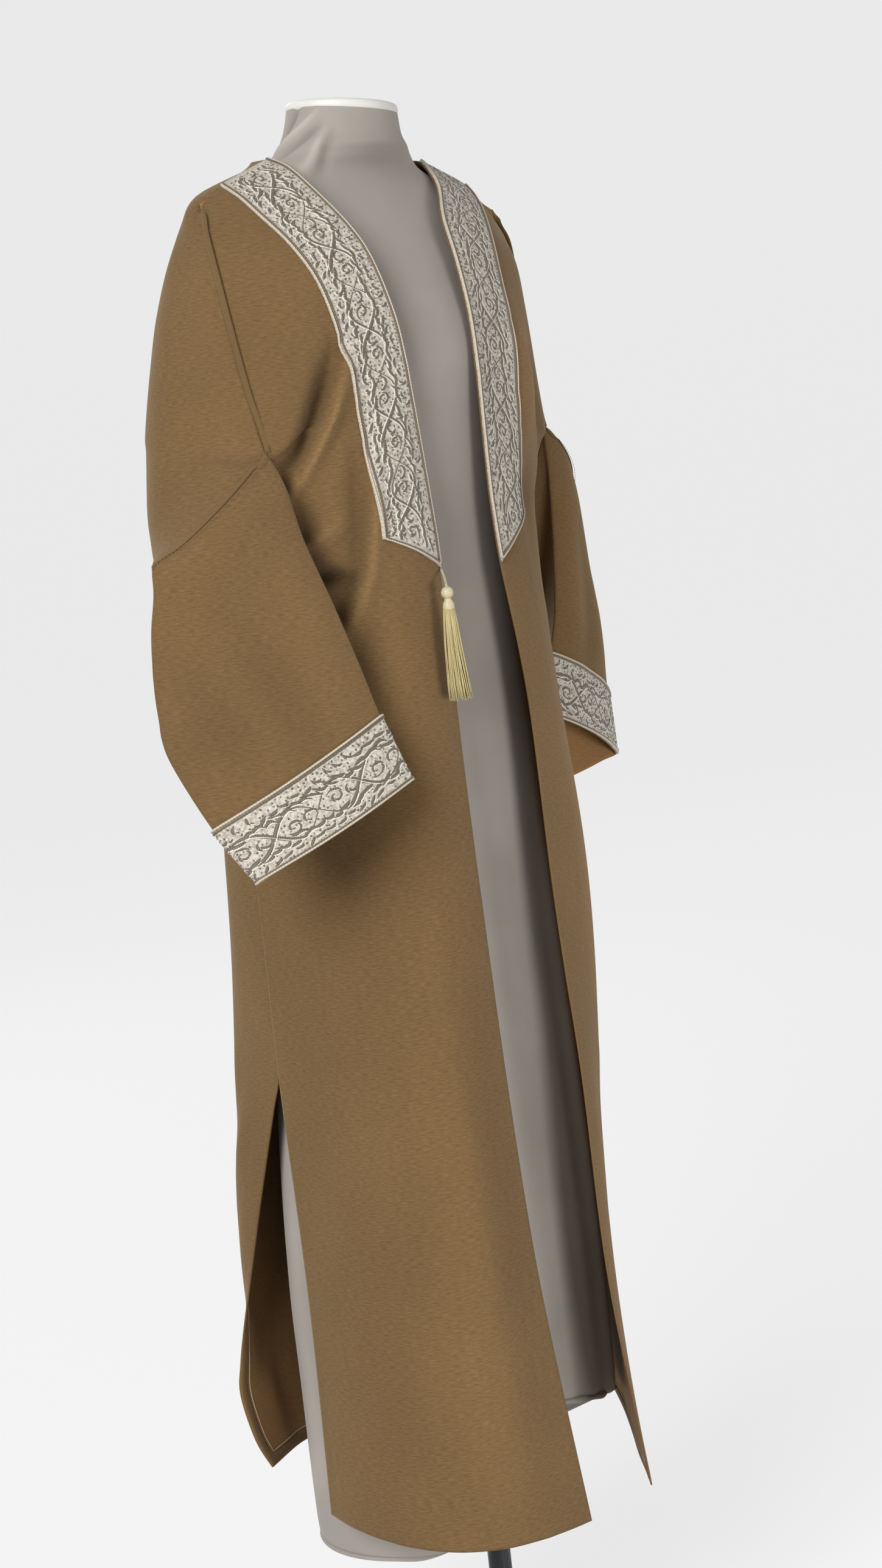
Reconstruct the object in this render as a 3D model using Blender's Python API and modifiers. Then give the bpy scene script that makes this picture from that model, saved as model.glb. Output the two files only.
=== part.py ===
"""Open abaya cloak with embroidered bands, hung on a limbless dress form and stand.

Metres, +Z up. The cloak faces -Y, the wearer's left is +X, and the origin is on the floor
under the pole. Every cloth piece is a closed wall: an inner surface of sections, moved out
along its own normals by the cloth's thickness.
"""
import math

import bmesh
import bpy
from mathutils import Vector

# --- driving sizes -------------------------------------------------------------------------
CLOTH = 0.0020            # wall of the felted cloth
SEAM = 0.0003             # gap between pieces that are sewn or rest together
RIDGE_GAP = 0.0010        # extra gap where the armhole crosses the sleeve's front fold
UNDERARM_GAP = 0.0025     # extra gap at the underarm, where three walls meet in a corner
BAND_WIDTH = 0.070        # embroidered band down each front edge
BAND_WALL = 0.0016
BAND_GAP = 0.0006         # between a band's underside and the panel's outer face
BAND_COLUMNS = 4
BAND_SLANT_ROWS = 2       # rows between the band's short and long edges at its slanted end
FRONT_COLUMNS = 10        # strips of a front panel, the first four under the band
BACK_HALF_COLUMNS = 9     # strips of half the back panel
SHOULDER_COLUMNS = 4      # of those, the strips along the shoulder seam
UPPER_STEPS = 6           # rows from the shoulder seam to the top of the armhole
ARM_FRONT_STEPS = 6       # rows along the front half of the armhole
ARM_FACE_STEPS = 6        # rows along the outer face of the armhole
ARM_UNDER_STEPS = 4       # rows along the back half, under the arm
LOWER_STEPS = (1, 1, 3, 4, 4, 5, 5)   # rows between the lower sections, underarm to hem
BAND_TIP_ROW = 2          # lower row at which the band's long edge ends
SLIT_ROW = 13             # lower row at which the side seam ends and the slit begins
CUFF_STEPS = 2            # rows of the sleeve under the cuff band
UNDERARM_PULL = 0.3       # how far a sleeve's underside is rounded at its middle

BASE_RADIUS = 0.185
BASE_HEIGHT = 0.014
POLE_RADIUS = 0.0125
NECK_TOP = 1.650
CAP_HEIGHT = 0.011
CAP_RADIUS = 0.0585

COLOURS = {
    "cloth": (0.255, 0.145, 0.055),
    "band": (0.690, 0.655, 0.580),
    "tassel": (0.640, 0.540, 0.330),
    "jersey": (0.370, 0.330, 0.290),
    "cap": (0.700, 0.690, 0.660),
    "metal": (0.022, 0.026, 0.028),
}
ROUGHNESS = {"cloth": 0.95, "band": 0.7, "tassel": 0.5, "jersey": 0.9, "cap": 0.6, "metal": 0.45}

# --- shape tables --------------------------------------------------------------------------
# Sections of a front panel, shoulder to armhole top.
# edge x, y, z (front edge)      middle x, y        side x, y, z (shoulder ridge)
FRONT_RIGHT_UPPER = (
    (-0.103, 0.000, 1.599, -0.1515, 0.000, -0.200, 0.000, 1.562),
    (-0.102, -0.025, 1.587, -0.152, -0.023, -0.206, -0.011, 1.544),
    (-0.098, -0.046, 1.569, -0.152, -0.042, -0.212, -0.022, 1.522),
    (-0.083, -0.082, 1.526, -0.150, -0.071, -0.219, -0.040, 1.482),
    (-0.074, -0.102, 1.490, -0.150, -0.090, -0.223, -0.056, 1.430),
    (-0.070, -0.122, 1.434, -0.150, -0.106, -0.222, -0.070, 1.368),
    (-0.069, -0.130, 1.390, -0.150, -0.114, -0.217, -0.080, 1.311),
)
FRONT_LEFT_UPPER = (
    (0.099, 0.000, 1.596, 0.1495, 0.000, 0.200, 0.000, 1.555),
    (0.088, -0.024, 1.582, 0.146, -0.022, 0.202, -0.006, 1.532),
    (0.078, -0.045, 1.563, 0.144, -0.040, 0.204, -0.011, 1.508),
    (0.053, -0.074, 1.528, 0.142, -0.066, 0.206, -0.014, 1.470),
    (0.042, -0.097, 1.485, 0.138, -0.079, 0.208, -0.016, 1.425),
    (0.036, -0.114, 1.430, 0.135, -0.086, 0.212, -0.021, 1.370),
    (0.030, -0.124, 1.375, 0.133, -0.088, 0.217, -0.026, 1.311),
)
# The same columns from the underarm to the hem; the side column is the seam, then the slit.
FRONT_RIGHT_LOWER = (
    (-0.062, -0.135, 1.240, -0.152, -0.112, -0.196, 0.020, 1.170),
    (-0.060, -0.135, 1.212, -0.153, -0.112, -0.197, 0.024, 1.145),
    (-0.059, -0.135, 1.181, -0.155, -0.112, -0.198, 0.027, 1.118),
    (-0.060, -0.140, 1.045, -0.160, -0.116, -0.199, 0.032, 0.995),
    (-0.068, -0.155, 0.857, -0.168, -0.128, -0.200, 0.029, 0.845),
    (-0.075, -0.175, 0.653, -0.182, -0.145, -0.205, 0.023, 0.686),
    (-0.078, -0.195, 0.448, -0.196, -0.162, -0.219, -0.002, 0.460),
    (-0.063, -0.215, 0.218, -0.215, -0.178, -0.235, -0.019, 0.242),
)
FRONT_LEFT_LOWER = (
    (0.027, -0.128, 1.245, 0.131, -0.085, 0.196, 0.025, 1.170),
    (0.028, -0.129, 1.212, 0.131, -0.084, 0.197, 0.027, 1.145),
    (0.030, -0.130, 1.178, 0.131, -0.083, 0.198, 0.030, 1.118),
    (0.042, -0.136, 1.045, 0.132, -0.082, 0.198, 0.034, 0.995),
    (0.037, -0.150, 0.855, 0.133, -0.090, 0.197, 0.036, 0.845),
    (0.034, -0.167, 0.660, 0.130, -0.093, 0.198, 0.036, 0.686),
    (0.024, -0.184, 0.445, 0.126, -0.090, 0.204, 0.030, 0.460),
    (0.040, -0.200, 0.217, 0.130, -0.088, 0.210, 0.020, 0.242),
)
# Back edge of each side slit, from its top to the hem: x, y, z
BACK_SLIT_RIGHT = (
    (-0.205, 0.023, 0.686), (-0.213, 0.086, 0.500), (-0.240, 0.104, 0.346), (-0.215, 0.097, 0.262))
BACK_SLIT_LEFT = (
    (0.200, 0.036, 0.686), (0.208, 0.086, 0.500), (0.228, 0.102, 0.346), (0.218, 0.100, 0.262))
BACK_SLIT_STEPS = (4, 4, 2)
# Sections of the back panel. Rows: 0 to 6 shoulder to armhole top, 7 outer face of the
# armhole, 8 underarm, 9 to 15 down to the hem.
# arm x, y (right)   quarter x, y (right)   centre y, z   quarter x, y (left)   arm x, y (left)
BACK_SECTIONS = (
    (-0.200, 0.001, -0.140, 0.030, 0.072, 1.606, 0.140, 0.030, 0.200, 0.001),
    (-0.203, 0.012, -0.146, 0.042, 0.086, 1.594, 0.146, 0.042, 0.201, 0.012),
    (-0.208, 0.022, -0.151, 0.053, 0.098, 1.574, 0.151, 0.053, 0.203, 0.022),
    (-0.219, 0.032, -0.158, 0.073, 0.115, 1.540, 0.158, 0.073, 0.214, 0.032),
    (-0.238, 0.032, -0.165, 0.090, 0.128, 1.490, 0.165, 0.090, 0.228, 0.036),
    (-0.257, 0.024, -0.175, 0.098, 0.136, 1.440, 0.172, 0.100, 0.240, 0.036),
    (-0.276, 0.012, -0.185, 0.103, 0.142, 1.385, 0.176, 0.105, 0.250, 0.036),
    (-0.275, 0.035, -0.188, 0.102, 0.145, 1.270, 0.180, 0.107, 0.246, 0.060),
    (-0.193, 0.065, -0.162, 0.105, 0.145, 1.200, 0.164, 0.107, 0.193, 0.068),
    (-0.193, 0.066, -0.160, 0.105, 0.145, 1.172, 0.163, 0.107, 0.193, 0.069),
    (-0.193, 0.067, -0.158, 0.105, 0.145, 1.144, 0.162, 0.107, 0.193, 0.070),
    (-0.192, 0.070, -0.158, 0.108, 0.147, 1.010, 0.160, 0.110, 0.193, 0.074),
    (-0.193, 0.074, -0.164, 0.115, 0.155, 0.850, 0.166, 0.118, 0.194, 0.078),
    (-0.199, 0.078, -0.174, 0.126, 0.165, 0.672, 0.174, 0.128, 0.199, 0.084),
    (-0.210, 0.116, -0.172, 0.142, 0.176, 0.450, 0.172, 0.144, 0.206, 0.115),
    (-0.178, 0.117, -0.135, 0.138, 0.176, 0.258, 0.145, 0.150, 0.190, 0.124),
)
# Rings of a sleeve, armhole to cuff.
# front fold x, y, z        back fold x, y, z          under side x, y, z     outer bulge
SLEEVE_RIGHT = (
    (-0.217, -0.080, 1.311, -0.324, -0.036, 1.215, -0.196, 0.020, 1.170, 0.024),
    (-0.212, -0.097, 1.276, -0.335, -0.032, 1.165, -0.238, -0.004, 1.150, 0.024),
    (-0.207, -0.108, 1.226, -0.343, -0.033, 1.115, -0.254, -0.022, 1.100, 0.023),
    (-0.200, -0.131, 1.164, -0.348, -0.041, 1.070, -0.258, -0.045, 1.055, 0.022),
    (-0.190, -0.151, 1.097, -0.350, -0.053, 1.033, -0.262, -0.075, 1.030, 0.020),
    (-0.180, -0.160, 1.051, -0.335, -0.088, 0.966, -0.250, -0.105, 0.990, 0.017),
    (-0.170, -0.185, 0.986, -0.320, -0.129, 0.914, -0.240, -0.140, 0.932, 0.015),
)
SLEEVE_LEFT = (
    (0.217, -0.026, 1.311, 0.288, 0.036, 1.215, 0.196, 0.025, 1.170, 0.020),
    (0.219, -0.026, 1.270, 0.305, 0.040, 1.165, 0.224, 0.026, 1.150, 0.020),
    (0.221, -0.022, 1.215, 0.321, 0.044, 1.115, 0.250, 0.040, 1.104, 0.020),
    (0.223, -0.016, 1.160, 0.342, 0.050, 1.075, 0.270, 0.057, 1.078, 0.019),
    (0.225, -0.008, 1.110, 0.357, 0.060, 1.035, 0.282, 0.068, 1.046, 0.018),
    (0.226, 0.006, 1.067, 0.372, 0.073, 0.999, 0.291, 0.079, 1.006, 0.016),
    (0.215, 0.016, 1.000, 0.375, 0.072, 0.930, 0.289, 0.086, 0.935, 0.015),
)
SLEEVE_STEPS = (2, 2, 2, 2, 2, 2)      # rows between the rings; the last pair is the cuff
# Large soft folds: from x, z to x, z, half width, depth into the cloth
FOLDS_RIGHT = (
    (-0.205, 1.285, -0.134, 1.385, 0.016, 0.012),
    (-0.185, 1.130, -0.142, 1.213, 0.014, 0.009),
)
FOLDS_LEFT = (
    (0.195, 1.290, 0.132, 1.385, 0.016, 0.009),
)
FOLDS_BACK = (
    (-0.210, 1.250, -0.090, 1.420, 0.022, 0.010),
    (0.210, 1.250, 0.090, 1.420, 0.022, 0.010),
)
# Sections of the dress form: z, half width x, half depth y, centre x, centre y
FORM_SECTIONS = (
    (1.6500, 0.0570, 0.0560, 0.000, 0.000),
    (1.6300, 0.0620, 0.0580, -0.002, 0.001),
    (1.6120, 0.0720, 0.0600, -0.004, 0.002),
    (1.6010, 0.0830, 0.0570, -0.003, 0.008),
    (1.5878, 0.1120, 0.0510, -0.004, 0.013),
    (1.5725, 0.1440, 0.0530, -0.005, 0.015),
    (1.5520, 0.1710, 0.0620, -0.003, 0.015),
    (1.5200, 0.1860, 0.0780, 0.000, 0.012),
    (1.4700, 0.1780, 0.0980, 0.000, 0.006),
    (1.4000, 0.1680, 0.1180, 0.000, 0.002),
    (1.3200, 0.1560, 0.1160, 0.000, 0.004),
    (1.2000, 0.1420, 0.1120, 0.000, 0.006),
    (1.1000, 0.1430, 0.1140, 0.000, 0.008),
    (0.9700, 0.1530, 0.1200, -0.001, 0.010),
    (0.8000, 0.1640, 0.1230, -0.003, 0.011),
    (0.6000, 0.1720, 0.1260, -0.006, 0.012),
    (0.4000, 0.1740, 0.1290, -0.010, 0.013),
    (0.2850, 0.1760, 0.1310, -0.014, 0.012),
)
FORM_SIDES = 28
FORM_HEM_Z = 0.216        # lower rim of the form's cover, at the pole
FORM_HEM_TILT_X = 0.185   # the rim's rise towards the wearer's left
FORM_HEM_TILT_Y = -0.190  # and towards the front
FORM_FLOOR_Z = 0.240      # flat disc in the form's underside, where the pole meets it
FORM_FLOOR_RADIUS = 0.060

# Tassel: a turned stem, bead and head, then strands. z below the band's tip, radius
TASSEL_AXIS = (-0.0745, -0.1620)
TASSEL_TIP_OFFSET = 0.0012  # stem end in front of the middle of the band's wall
TASSEL_PROFILE = (
    (1.1650, 0.0012), (1.1640, 0.0030), (1.1615, 0.0050), (1.1580, 0.0058), (1.1545, 0.0050),
    (1.1520, 0.0034), (1.1505, 0.0034), (1.1485, 0.0046), (1.1440, 0.0058), (1.1390, 0.0062),
    (1.1360, 0.0060),
)
TASSEL_SIDES = 14
STRAND_RINGS = 3
STRAND_GAP = 0.00022
STRAND_LENGTH = 0.082
STRAND_STEPS = 3
STRAND_SPREAD = 2.35      # radius at the strands' ends over the radius at the head


# --- small tools ---------------------------------------------------------------------------
def spline(p0, p1, p2, p3, f, pull=0.5):
    """Curve between p1 and p2 for points or table rows; pull 0.5 is Catmull-Rom."""
    g = f * f * (3 - 2 * f)
    leave = f * (1 - f) ** 2 * pull
    arrive = f * f * (f - 1) * pull
    return tuple(
        b + (c - b) * g + (c - a) * leave + (d - b) * arrive
        for a, b, c, d in zip(p0, p1, p2, p3))


def smooth_rows(table, steps, pull=0.5):
    """Rows through a table, with the given number of steps between its lines."""
    last = len(table) - 1
    rows = [tuple(table[0])]
    for i, count in enumerate(steps):
        ends = (table[max(i - 1, 0)], table[i], table[i + 1], table[min(i + 2, last)])
        for step in range(1, count + 1):
            rows.append(spline(*ends, step / count, pull))
    return rows


def curve_through(points, samples):
    """Dense points of a Catmull-Rom curve that passes through the given points."""
    steps = [samples] * (len(points) - 1)
    return [Vector(p) for p in smooth_rows([tuple(p) for p in points], steps)]


def at_lengths(dense, lengths):
    """Points of a dense polyline at the given distances from its start."""
    found = []
    travelled = 0.0
    index = 0
    for wanted in lengths:
        while index < len(dense) - 2:
            piece = (dense[index + 1] - dense[index]).length
            if travelled + piece >= wanted:
                break
            travelled += piece
            index += 1
        piece = (dense[index + 1] - dense[index]).length
        found.append(dense[index].lerp(dense[index + 1], min((wanted - travelled) / piece, 1.0)))
    return found


def total_length(dense):
    return sum((b - a).length for a, b in zip(dense, dense[1:]))


def grid_normals(grid, centre, closed=False):
    """Unit normals of a grid of rows, all on the side away from the centre of each row."""
    rows = len(grid)
    columns = len(grid[0])
    normals = []
    outward = 0.0
    for r in range(rows):
        line = []
        for c in range(columns):
            along = grid[min(r + 1, rows - 1)][c] - grid[max(r - 1, 0)][c]
            here = grid[r][c]
            after = grid[r][(c + 1) % columns if closed else min(c + 1, columns - 1)]
            before = grid[r][c - 1 if closed else max(c - 1, 0)]
            across = (after - here).normalized() + (here - before).normalized()
            normal = along.cross(across).normalized()
            outward += normal.dot((grid[r][c] - centre(r)).normalized())
            line.append(normal)
        normals.append(line)
    if outward < 0:
        normals = [[-n for n in line] for line in normals]
    return normals


def share_normals(piece_a, piece_b, pairs):
    """One normal for each pair of points that face each other across a seam."""
    for (row_a, column_a), (row_b, column_b) in pairs:
        a = piece_a["normals"][row_a][column_a]
        b = piece_b["normals"][row_b][column_b]
        shared = (a + b).normalized()
        piece_a["normals"][row_a][column_a] = shared
        piece_b["normals"][row_b][column_b] = shared


def moved_out(grid, normals, distance):
    return [[p + n * distance for p, n in zip(row, line)] for row, line in zip(grid, normals)]


def material(kind):
    found = bpy.data.materials.get(kind)
    if found:
        return found
    made = bpy.data.materials.new(kind)
    made.use_nodes = True
    shader = made.node_tree.nodes["Principled BSDF"]
    shader.inputs["Base Color"].default_value = (*COLOURS[kind], 1.0)
    shader.inputs["Roughness"].default_value = ROUGHNESS[kind]
    shader.inputs["Metallic"].default_value = 0.0
    return made


def add_object(name, bm, kind):
    """One named object in the cloak's collection, with its faces turned outwards."""
    bmesh.ops.recalc_face_normals(bm, faces=bm.faces)
    mesh = bpy.data.meshes.new(name)
    bm.to_mesh(mesh)
    bm.free()
    mesh.shade_smooth()
    mesh.set_sharp_from_angle(angle=math.radians(50))
    mesh.materials.append(material(kind))
    made = bpy.data.objects.new(name, mesh)
    collection.objects.link(made)
    return made


def wall(name, inner, outer, kind, closed=False, mirror_from=None):
    """Closed wall between two grids of points; closed=True makes a tube.

    Each cell is split along one diagonal, the same in both skins, and from the column
    mirror_from on along the other one.
    """
    bm = bmesh.new()
    sides = [[[bm.verts.new(p) for p in row] for row in grid] for grid in (inner, outer)]
    rows = len(inner)
    columns = len(inner[0])
    spans = columns if closed else columns - 1
    quads = []
    for r in range(rows - 1):
        for c in range(spans):
            d = (c + 1) % columns
            for side in sides:
                corners = [side[r][c], side[r][d], side[r + 1][d], side[r + 1][c]]
                if mirror_from is not None and c >= mirror_from:
                    corners = corners[1:] + corners[:1]
                quads.append(corners)
    for r in (0, rows - 1):
        for c in range(spans):
            d = (c + 1) % columns
            quads.append((sides[0][r][c], sides[0][r][d], sides[1][r][d], sides[1][r][c]))
    for c in (0, columns - 1) if not closed else ():
        for r in range(rows - 1):
            quads.append((sides[0][r][c], sides[0][r + 1][c], sides[1][r + 1][c], sides[1][r][c]))
    for p, q, s, t in quads:
        bm.faces.new((p, q, s))
        bm.faces.new((p, s, t))
    return add_object(name, bm, kind)


def pressed_in(grid, normals, folds, sewn_columns):
    """The grid with its large folds: soft troughs along straight lines in x and z."""
    pressed = []
    for row, line in zip(grid, normals):
        points = []
        for c, (p, n) in enumerate(zip(row, line)):
            if c in sewn_columns:
                points.append(p)
                continue
            depth = 0.0
            for x0, z0, x1, z1, width, deep in folds:
                along = Vector((x1 - x0, z1 - z0))
                offset = Vector((p.x - x0, p.z - z0))
                f = max(0.0, min(1.0, offset.dot(along) / along.length_squared))
                away = (offset - along * f).length
                ends = math.sin(math.pi * (0.15 + 0.7 * f))
                depth += deep * ends * math.exp(-(away / width) ** 2)
            points.append(p - n * depth)
        pressed.append(points)
    return pressed


# --- armholes ------------------------------------------------------------------------------
def sleeve_ring(row):
    """Closed ring: outer face from front fold to back fold, then back under the arm."""
    front = Vector(row[0:3])
    back = Vector(row[3:6])
    under = Vector(row[6:9])
    across = back - front
    out = Vector((across.y, -across.x, 0.0)).normalized()
    if out.y > 0:
        out.negate()
    middle = (front + back) / 2 + out * row[9]
    control = middle * 2 - (front + back) / 2
    ring = []
    for i in range(ARM_FACE_STEPS):
        f = i / ARM_FACE_STEPS
        ring.append(front * (1 - f) ** 2 + control * 2 * f * (1 - f) + back * f * f)
    steps = (ARM_UNDER_STEPS, ARM_FRONT_STEPS)
    path = smooth_rows([tuple(back), tuple(under), tuple(front)], steps, UNDERARM_PULL)
    ring += [Vector(p) for p in path[:-1]]
    return ring


def armhole_back(ring):
    """Armhole points from its top, over the outer face, to the underarm."""
    return ring[: ARM_FACE_STEPS + ARM_UNDER_STEPS + 1]


def armhole_front(ring):
    """Armhole points from its top, down the front half, to the underarm."""
    return [ring[0]] + ring[: ARM_FACE_STEPS + ARM_UNDER_STEPS - 1: -1]


# --- front panels and their bands ----------------------------------------------------------
def front_grid(upper, lower, ring):
    """Inner surface of a front panel, rows from the shoulder to the hem."""
    joint = [upper[-1], lower[0]]
    ends = [upper[-2]] + joint + [lower[2]]
    middle = [spline(*ends, i / ARM_FRONT_STEPS) for i in range(1, ARM_FRONT_STEPS + 1)]
    edge_of_arm = armhole_front(ring)
    rows = [tuple(row) for row in upper]
    for i, row in enumerate(middle):
        rows.append(row[:5] + tuple(edge_of_arm[i + 1]))
    rows += smooth_rows(lower, LOWER_STEPS)[1:]
    grid = []
    for row in rows:
        edge = Vector(row[0:3])
        side = Vector(row[5:8])
        middle_point = Vector((row[3], row[4], (row[2] + row[7]) / 2))
        control = middle_point * 2 - (edge + side) / 2
        dense = []
        for i in range(81):
            f = i / 80
            dense.append(edge * (1 - f) ** 2 + control * 2 * f * (1 - f) + side * f * f)
        whole = total_length(dense)
        lengths = [BAND_WIDTH * c / BAND_COLUMNS for c in range(BAND_COLUMNS + 1)]
        rest = FRONT_COLUMNS - BAND_COLUMNS
        lengths += [BAND_WIDTH + (whole - SEAM / 2 - BAND_WIDTH) * c / rest for c in range(1, rest + 1)]
        grid.append(at_lengths(dense, lengths))
    return grid


def body_piece(grid, folds, sewn_columns):
    """A body panel as its inner grid, with its folds pressed in, and that grid's normals."""
    def centre(r):
        return Vector((0.0, 0.02, grid[r][len(grid[r]) // 2].z))
    grid = pressed_in(grid, grid_normals(grid, centre), folds, sewn_columns)
    return {"grid": grid, "normals": grid_normals(grid, centre)}


def piece_wall(name, piece, closed=False, mirror_from=None):
    outer = moved_out(piece["grid"], piece["normals"], CLOTH)
    wall(name, piece["grid"], outer, "cloth", closed, mirror_from)


def down_column(grid, column, place):
    """The point of one column at a fractional row."""
    row = min(int(place), len(grid) - 2)
    return grid[row][column].lerp(grid[row + 1][column], place - row)


def front_band(side, piece):
    """Band on the front edge, made from the panel's points and cut to a slanted end."""
    tip = UPPER_STEPS + ARM_FRONT_STEPS + BAND_TIP_ROW
    start = tip - BAND_SLANT_ROWS - 1
    layers = []
    for distance in (CLOTH + BAND_GAP, CLOTH + BAND_GAP + BAND_WALL):
        skin = moved_out(piece["grid"], piece["normals"], distance)
        layer = [row[: BAND_COLUMNS + 1] for row in skin[: start + 1]]
        for step in range(1, BAND_SLANT_ROWS + 2):
            row = []
            for c in range(BAND_COLUMNS + 1):
                end = tip - BAND_SLANT_ROWS * c / BAND_COLUMNS
                row.append(down_column(skin, c, start + (end - start) * step / (BAND_SLANT_ROWS + 1)))
            layer.append(row)
        layers.append(layer)
    wall("front_band_" + side, layers[0], layers[1], "band")
    return (layers[0][-1][0] + layers[1][-1][0]) / 2


# --- back panel ----------------------------------------------------------------------------
def shoulder_row(right, left):
    """Top edge of the back: shoulder seam, curved back neck, shoulder seam."""
    right_neck, right_corner = Vector(right[0:3]), Vector(right[5:8])
    left_neck, left_corner = Vector(left[0:3]), Vector(left[5:8])
    centre = Vector((0.0, BACK_SECTIONS[0][4], BACK_SECTIONS[0][5]))
    neck_columns = BACK_HALF_COLUMNS - SHOULDER_COLUMNS
    row = [right_corner.lerp(right_neck, c / SHOULDER_COLUMNS) for c in range(SHOULDER_COLUMNS)]
    for start, end in ((right_neck, centre), (centre, left_neck)):
        control = Vector((start.x if start is right_neck else end.x, centre.y, centre.z))
        for i in range(neck_columns):
            f = i / neck_columns
            row.append(start * (1 - f) ** 2 + control * 2 * f * (1 - f) + end * f * f)
    row += [left_neck.lerp(left_corner, c / SHOULDER_COLUMNS) for c in range(SHOULDER_COLUMNS + 1)]
    return row


def back_sides(upper, lower, ring, slit):
    """Outer edge of the back on one side, shoulder corner to hem."""
    points = [Vector(row[5:8]) for row in upper]
    points += armhole_back(ring)[1:]
    seam = smooth_rows([row[5:8] for row in lower], LOWER_STEPS)
    points += [Vector(p) for p in seam[1: SLIT_ROW + 1]]
    points += [Vector(p) for p in smooth_rows(slit, BACK_SLIT_STEPS)[1:]]
    return points


def back_grid(ring_right, ring_left):
    right = back_sides(FRONT_RIGHT_UPPER, FRONT_RIGHT_LOWER, ring_right, BACK_SLIT_RIGHT)
    left = back_sides(FRONT_LEFT_UPPER, FRONT_LEFT_LOWER, ring_left, BACK_SLIT_LEFT)
    steps = [1] * UPPER_STEPS + [ARM_FACE_STEPS, ARM_UNDER_STEPS] + list(LOWER_STEPS)
    sections = smooth_rows(BACK_SECTIONS, steps)
    grid = [shoulder_row(FRONT_RIGHT_UPPER[0], FRONT_LEFT_UPPER[0])]
    for right_side, left_side, row in list(zip(right, left, sections))[1:]:
        centre = Vector((0.0, row[4], row[5]))
        points = [right_side]
        for x, y, share, side in ((row[0], row[1], 0.3, right_side), (row[2], row[3], 0.65, right_side)):
            points.append(Vector((x, y, side.z + (centre.z - side.z) * share)))
        points.append(centre)
        for x, y, share, side in ((row[6], row[7], 0.65, left_side), (row[8], row[9], 0.3, left_side)):
            points.append(Vector((x, y, side.z + (centre.z - side.z) * share)))
        points.append(left_side)
        halves = []
        for half in (points[:4], points[3:]):
            dense = curve_through(points, 16)
            start = 0 if half[0] is right_side else 48
            dense = dense[start: start + 49]
            whole = total_length(dense)
            lengths = [whole * c / BACK_HALF_COLUMNS for c in range(BACK_HALF_COLUMNS + 1)]
            halves.append(at_lengths(dense, lengths))
        grid.append(halves[0] + halves[1][1:])
    for row in grid:
        row[0] = row[0] + (row[1] - row[0]).normalized() * SEAM / 2
        row[-1] = row[-1] + (row[-2] - row[-1]).normalized() * SEAM / 2
    for p in grid[0]:
        p.y += SEAM
    return grid


# --- sleeves and cuff bands ----------------------------------------------------------------
def sleeve_piece(table):
    rings = [sleeve_ring(row) for row in smooth_rows(table, SLEEVE_STEPS)]
    first = []
    under = ARM_FACE_STEPS + ARM_UNDER_STEPS
    for c, (a, b) in enumerate(zip(rings[0], rings[1])):
        span = ARM_UNDER_STEPS if c < under else ARM_FRONT_STEPS
        near_under = max(0.0, 1 - abs(c - under) / span)
        at_top = RIDGE_GAP if c == 0 else 0.0
        first.append(a + (b - a).normalized() * (SEAM + UNDERARM_GAP * near_under + at_top))
    rings[0] = first

    def centre(r):
        return sum(rings[r], Vector()) / len(rings[r])
    return {"grid": rings, "normals": grid_normals(rings, centre, closed=True)}


def cuff_band(side, piece):
    rows = slice(-CUFF_STEPS - 1, None)
    under = moved_out(piece["grid"][rows], piece["normals"][rows], CLOTH + SEAM)
    over = moved_out(piece["grid"][rows], piece["normals"][rows], CLOTH + SEAM + BAND_WALL)
    wall("cuff_band_" + side, under, over, "band", closed=True)


def join_seams(front, back, sleeve, back_column):
    """Shared normals along the shoulder ridge, the armhole and the side seam."""
    seam_front = UPPER_STEPS + ARM_FRONT_STEPS
    seam_back = UPPER_STEPS + ARM_FACE_STEPS + ARM_UNDER_STEPS
    arm_back = ARM_FACE_STEPS + ARM_UNDER_STEPS
    count = len(sleeve["grid"][0])
    for row_front, row_back, ring_point in ((UPPER_STEPS, UPPER_STEPS, 0), (seam_front, seam_back, arm_back)):
        lines = (front["normals"][row_front], back["normals"][row_back], sleeve["normals"][0])
        places = (-1, back_column, ring_point)
        body = (lines[0][-1] + lines[1][back_column]).normalized()
        shared = (body + lines[2][ring_point]).normalized()
        for line, place in zip(lines, places):
            line[place] = shared
    share_normals(front, back, [((r, -1), (r, back_column)) for r in range(1, UPPER_STEPS)])
    share_normals(front, back, [((seam_front + r, -1), (seam_back + r, back_column))
                                for r in range(1, SLIT_ROW + 1)])
    share_normals(back, sleeve, [((UPPER_STEPS + i, back_column), (0, i)) for i in range(1, arm_back)])
    share_normals(front, sleeve, [((UPPER_STEPS + i, -1), (0, (count - i) % count))
                                  for i in range(1, ARM_FRONT_STEPS)])
    top = (front["grid"][0][0] - front["grid"][0][-1])
    lift = Vector((-top.z, 0.0, top.x)).normalized()
    if lift.z < 0:
        lift.negate()
    front["normals"][0] = [lift for n in front["normals"][0]]
    shoulder = range(SHOULDER_COLUMNS + 1)
    for c in shoulder:
        back["normals"][0][back_column + c if back_column == 0 else back_column - c] = lift


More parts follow.
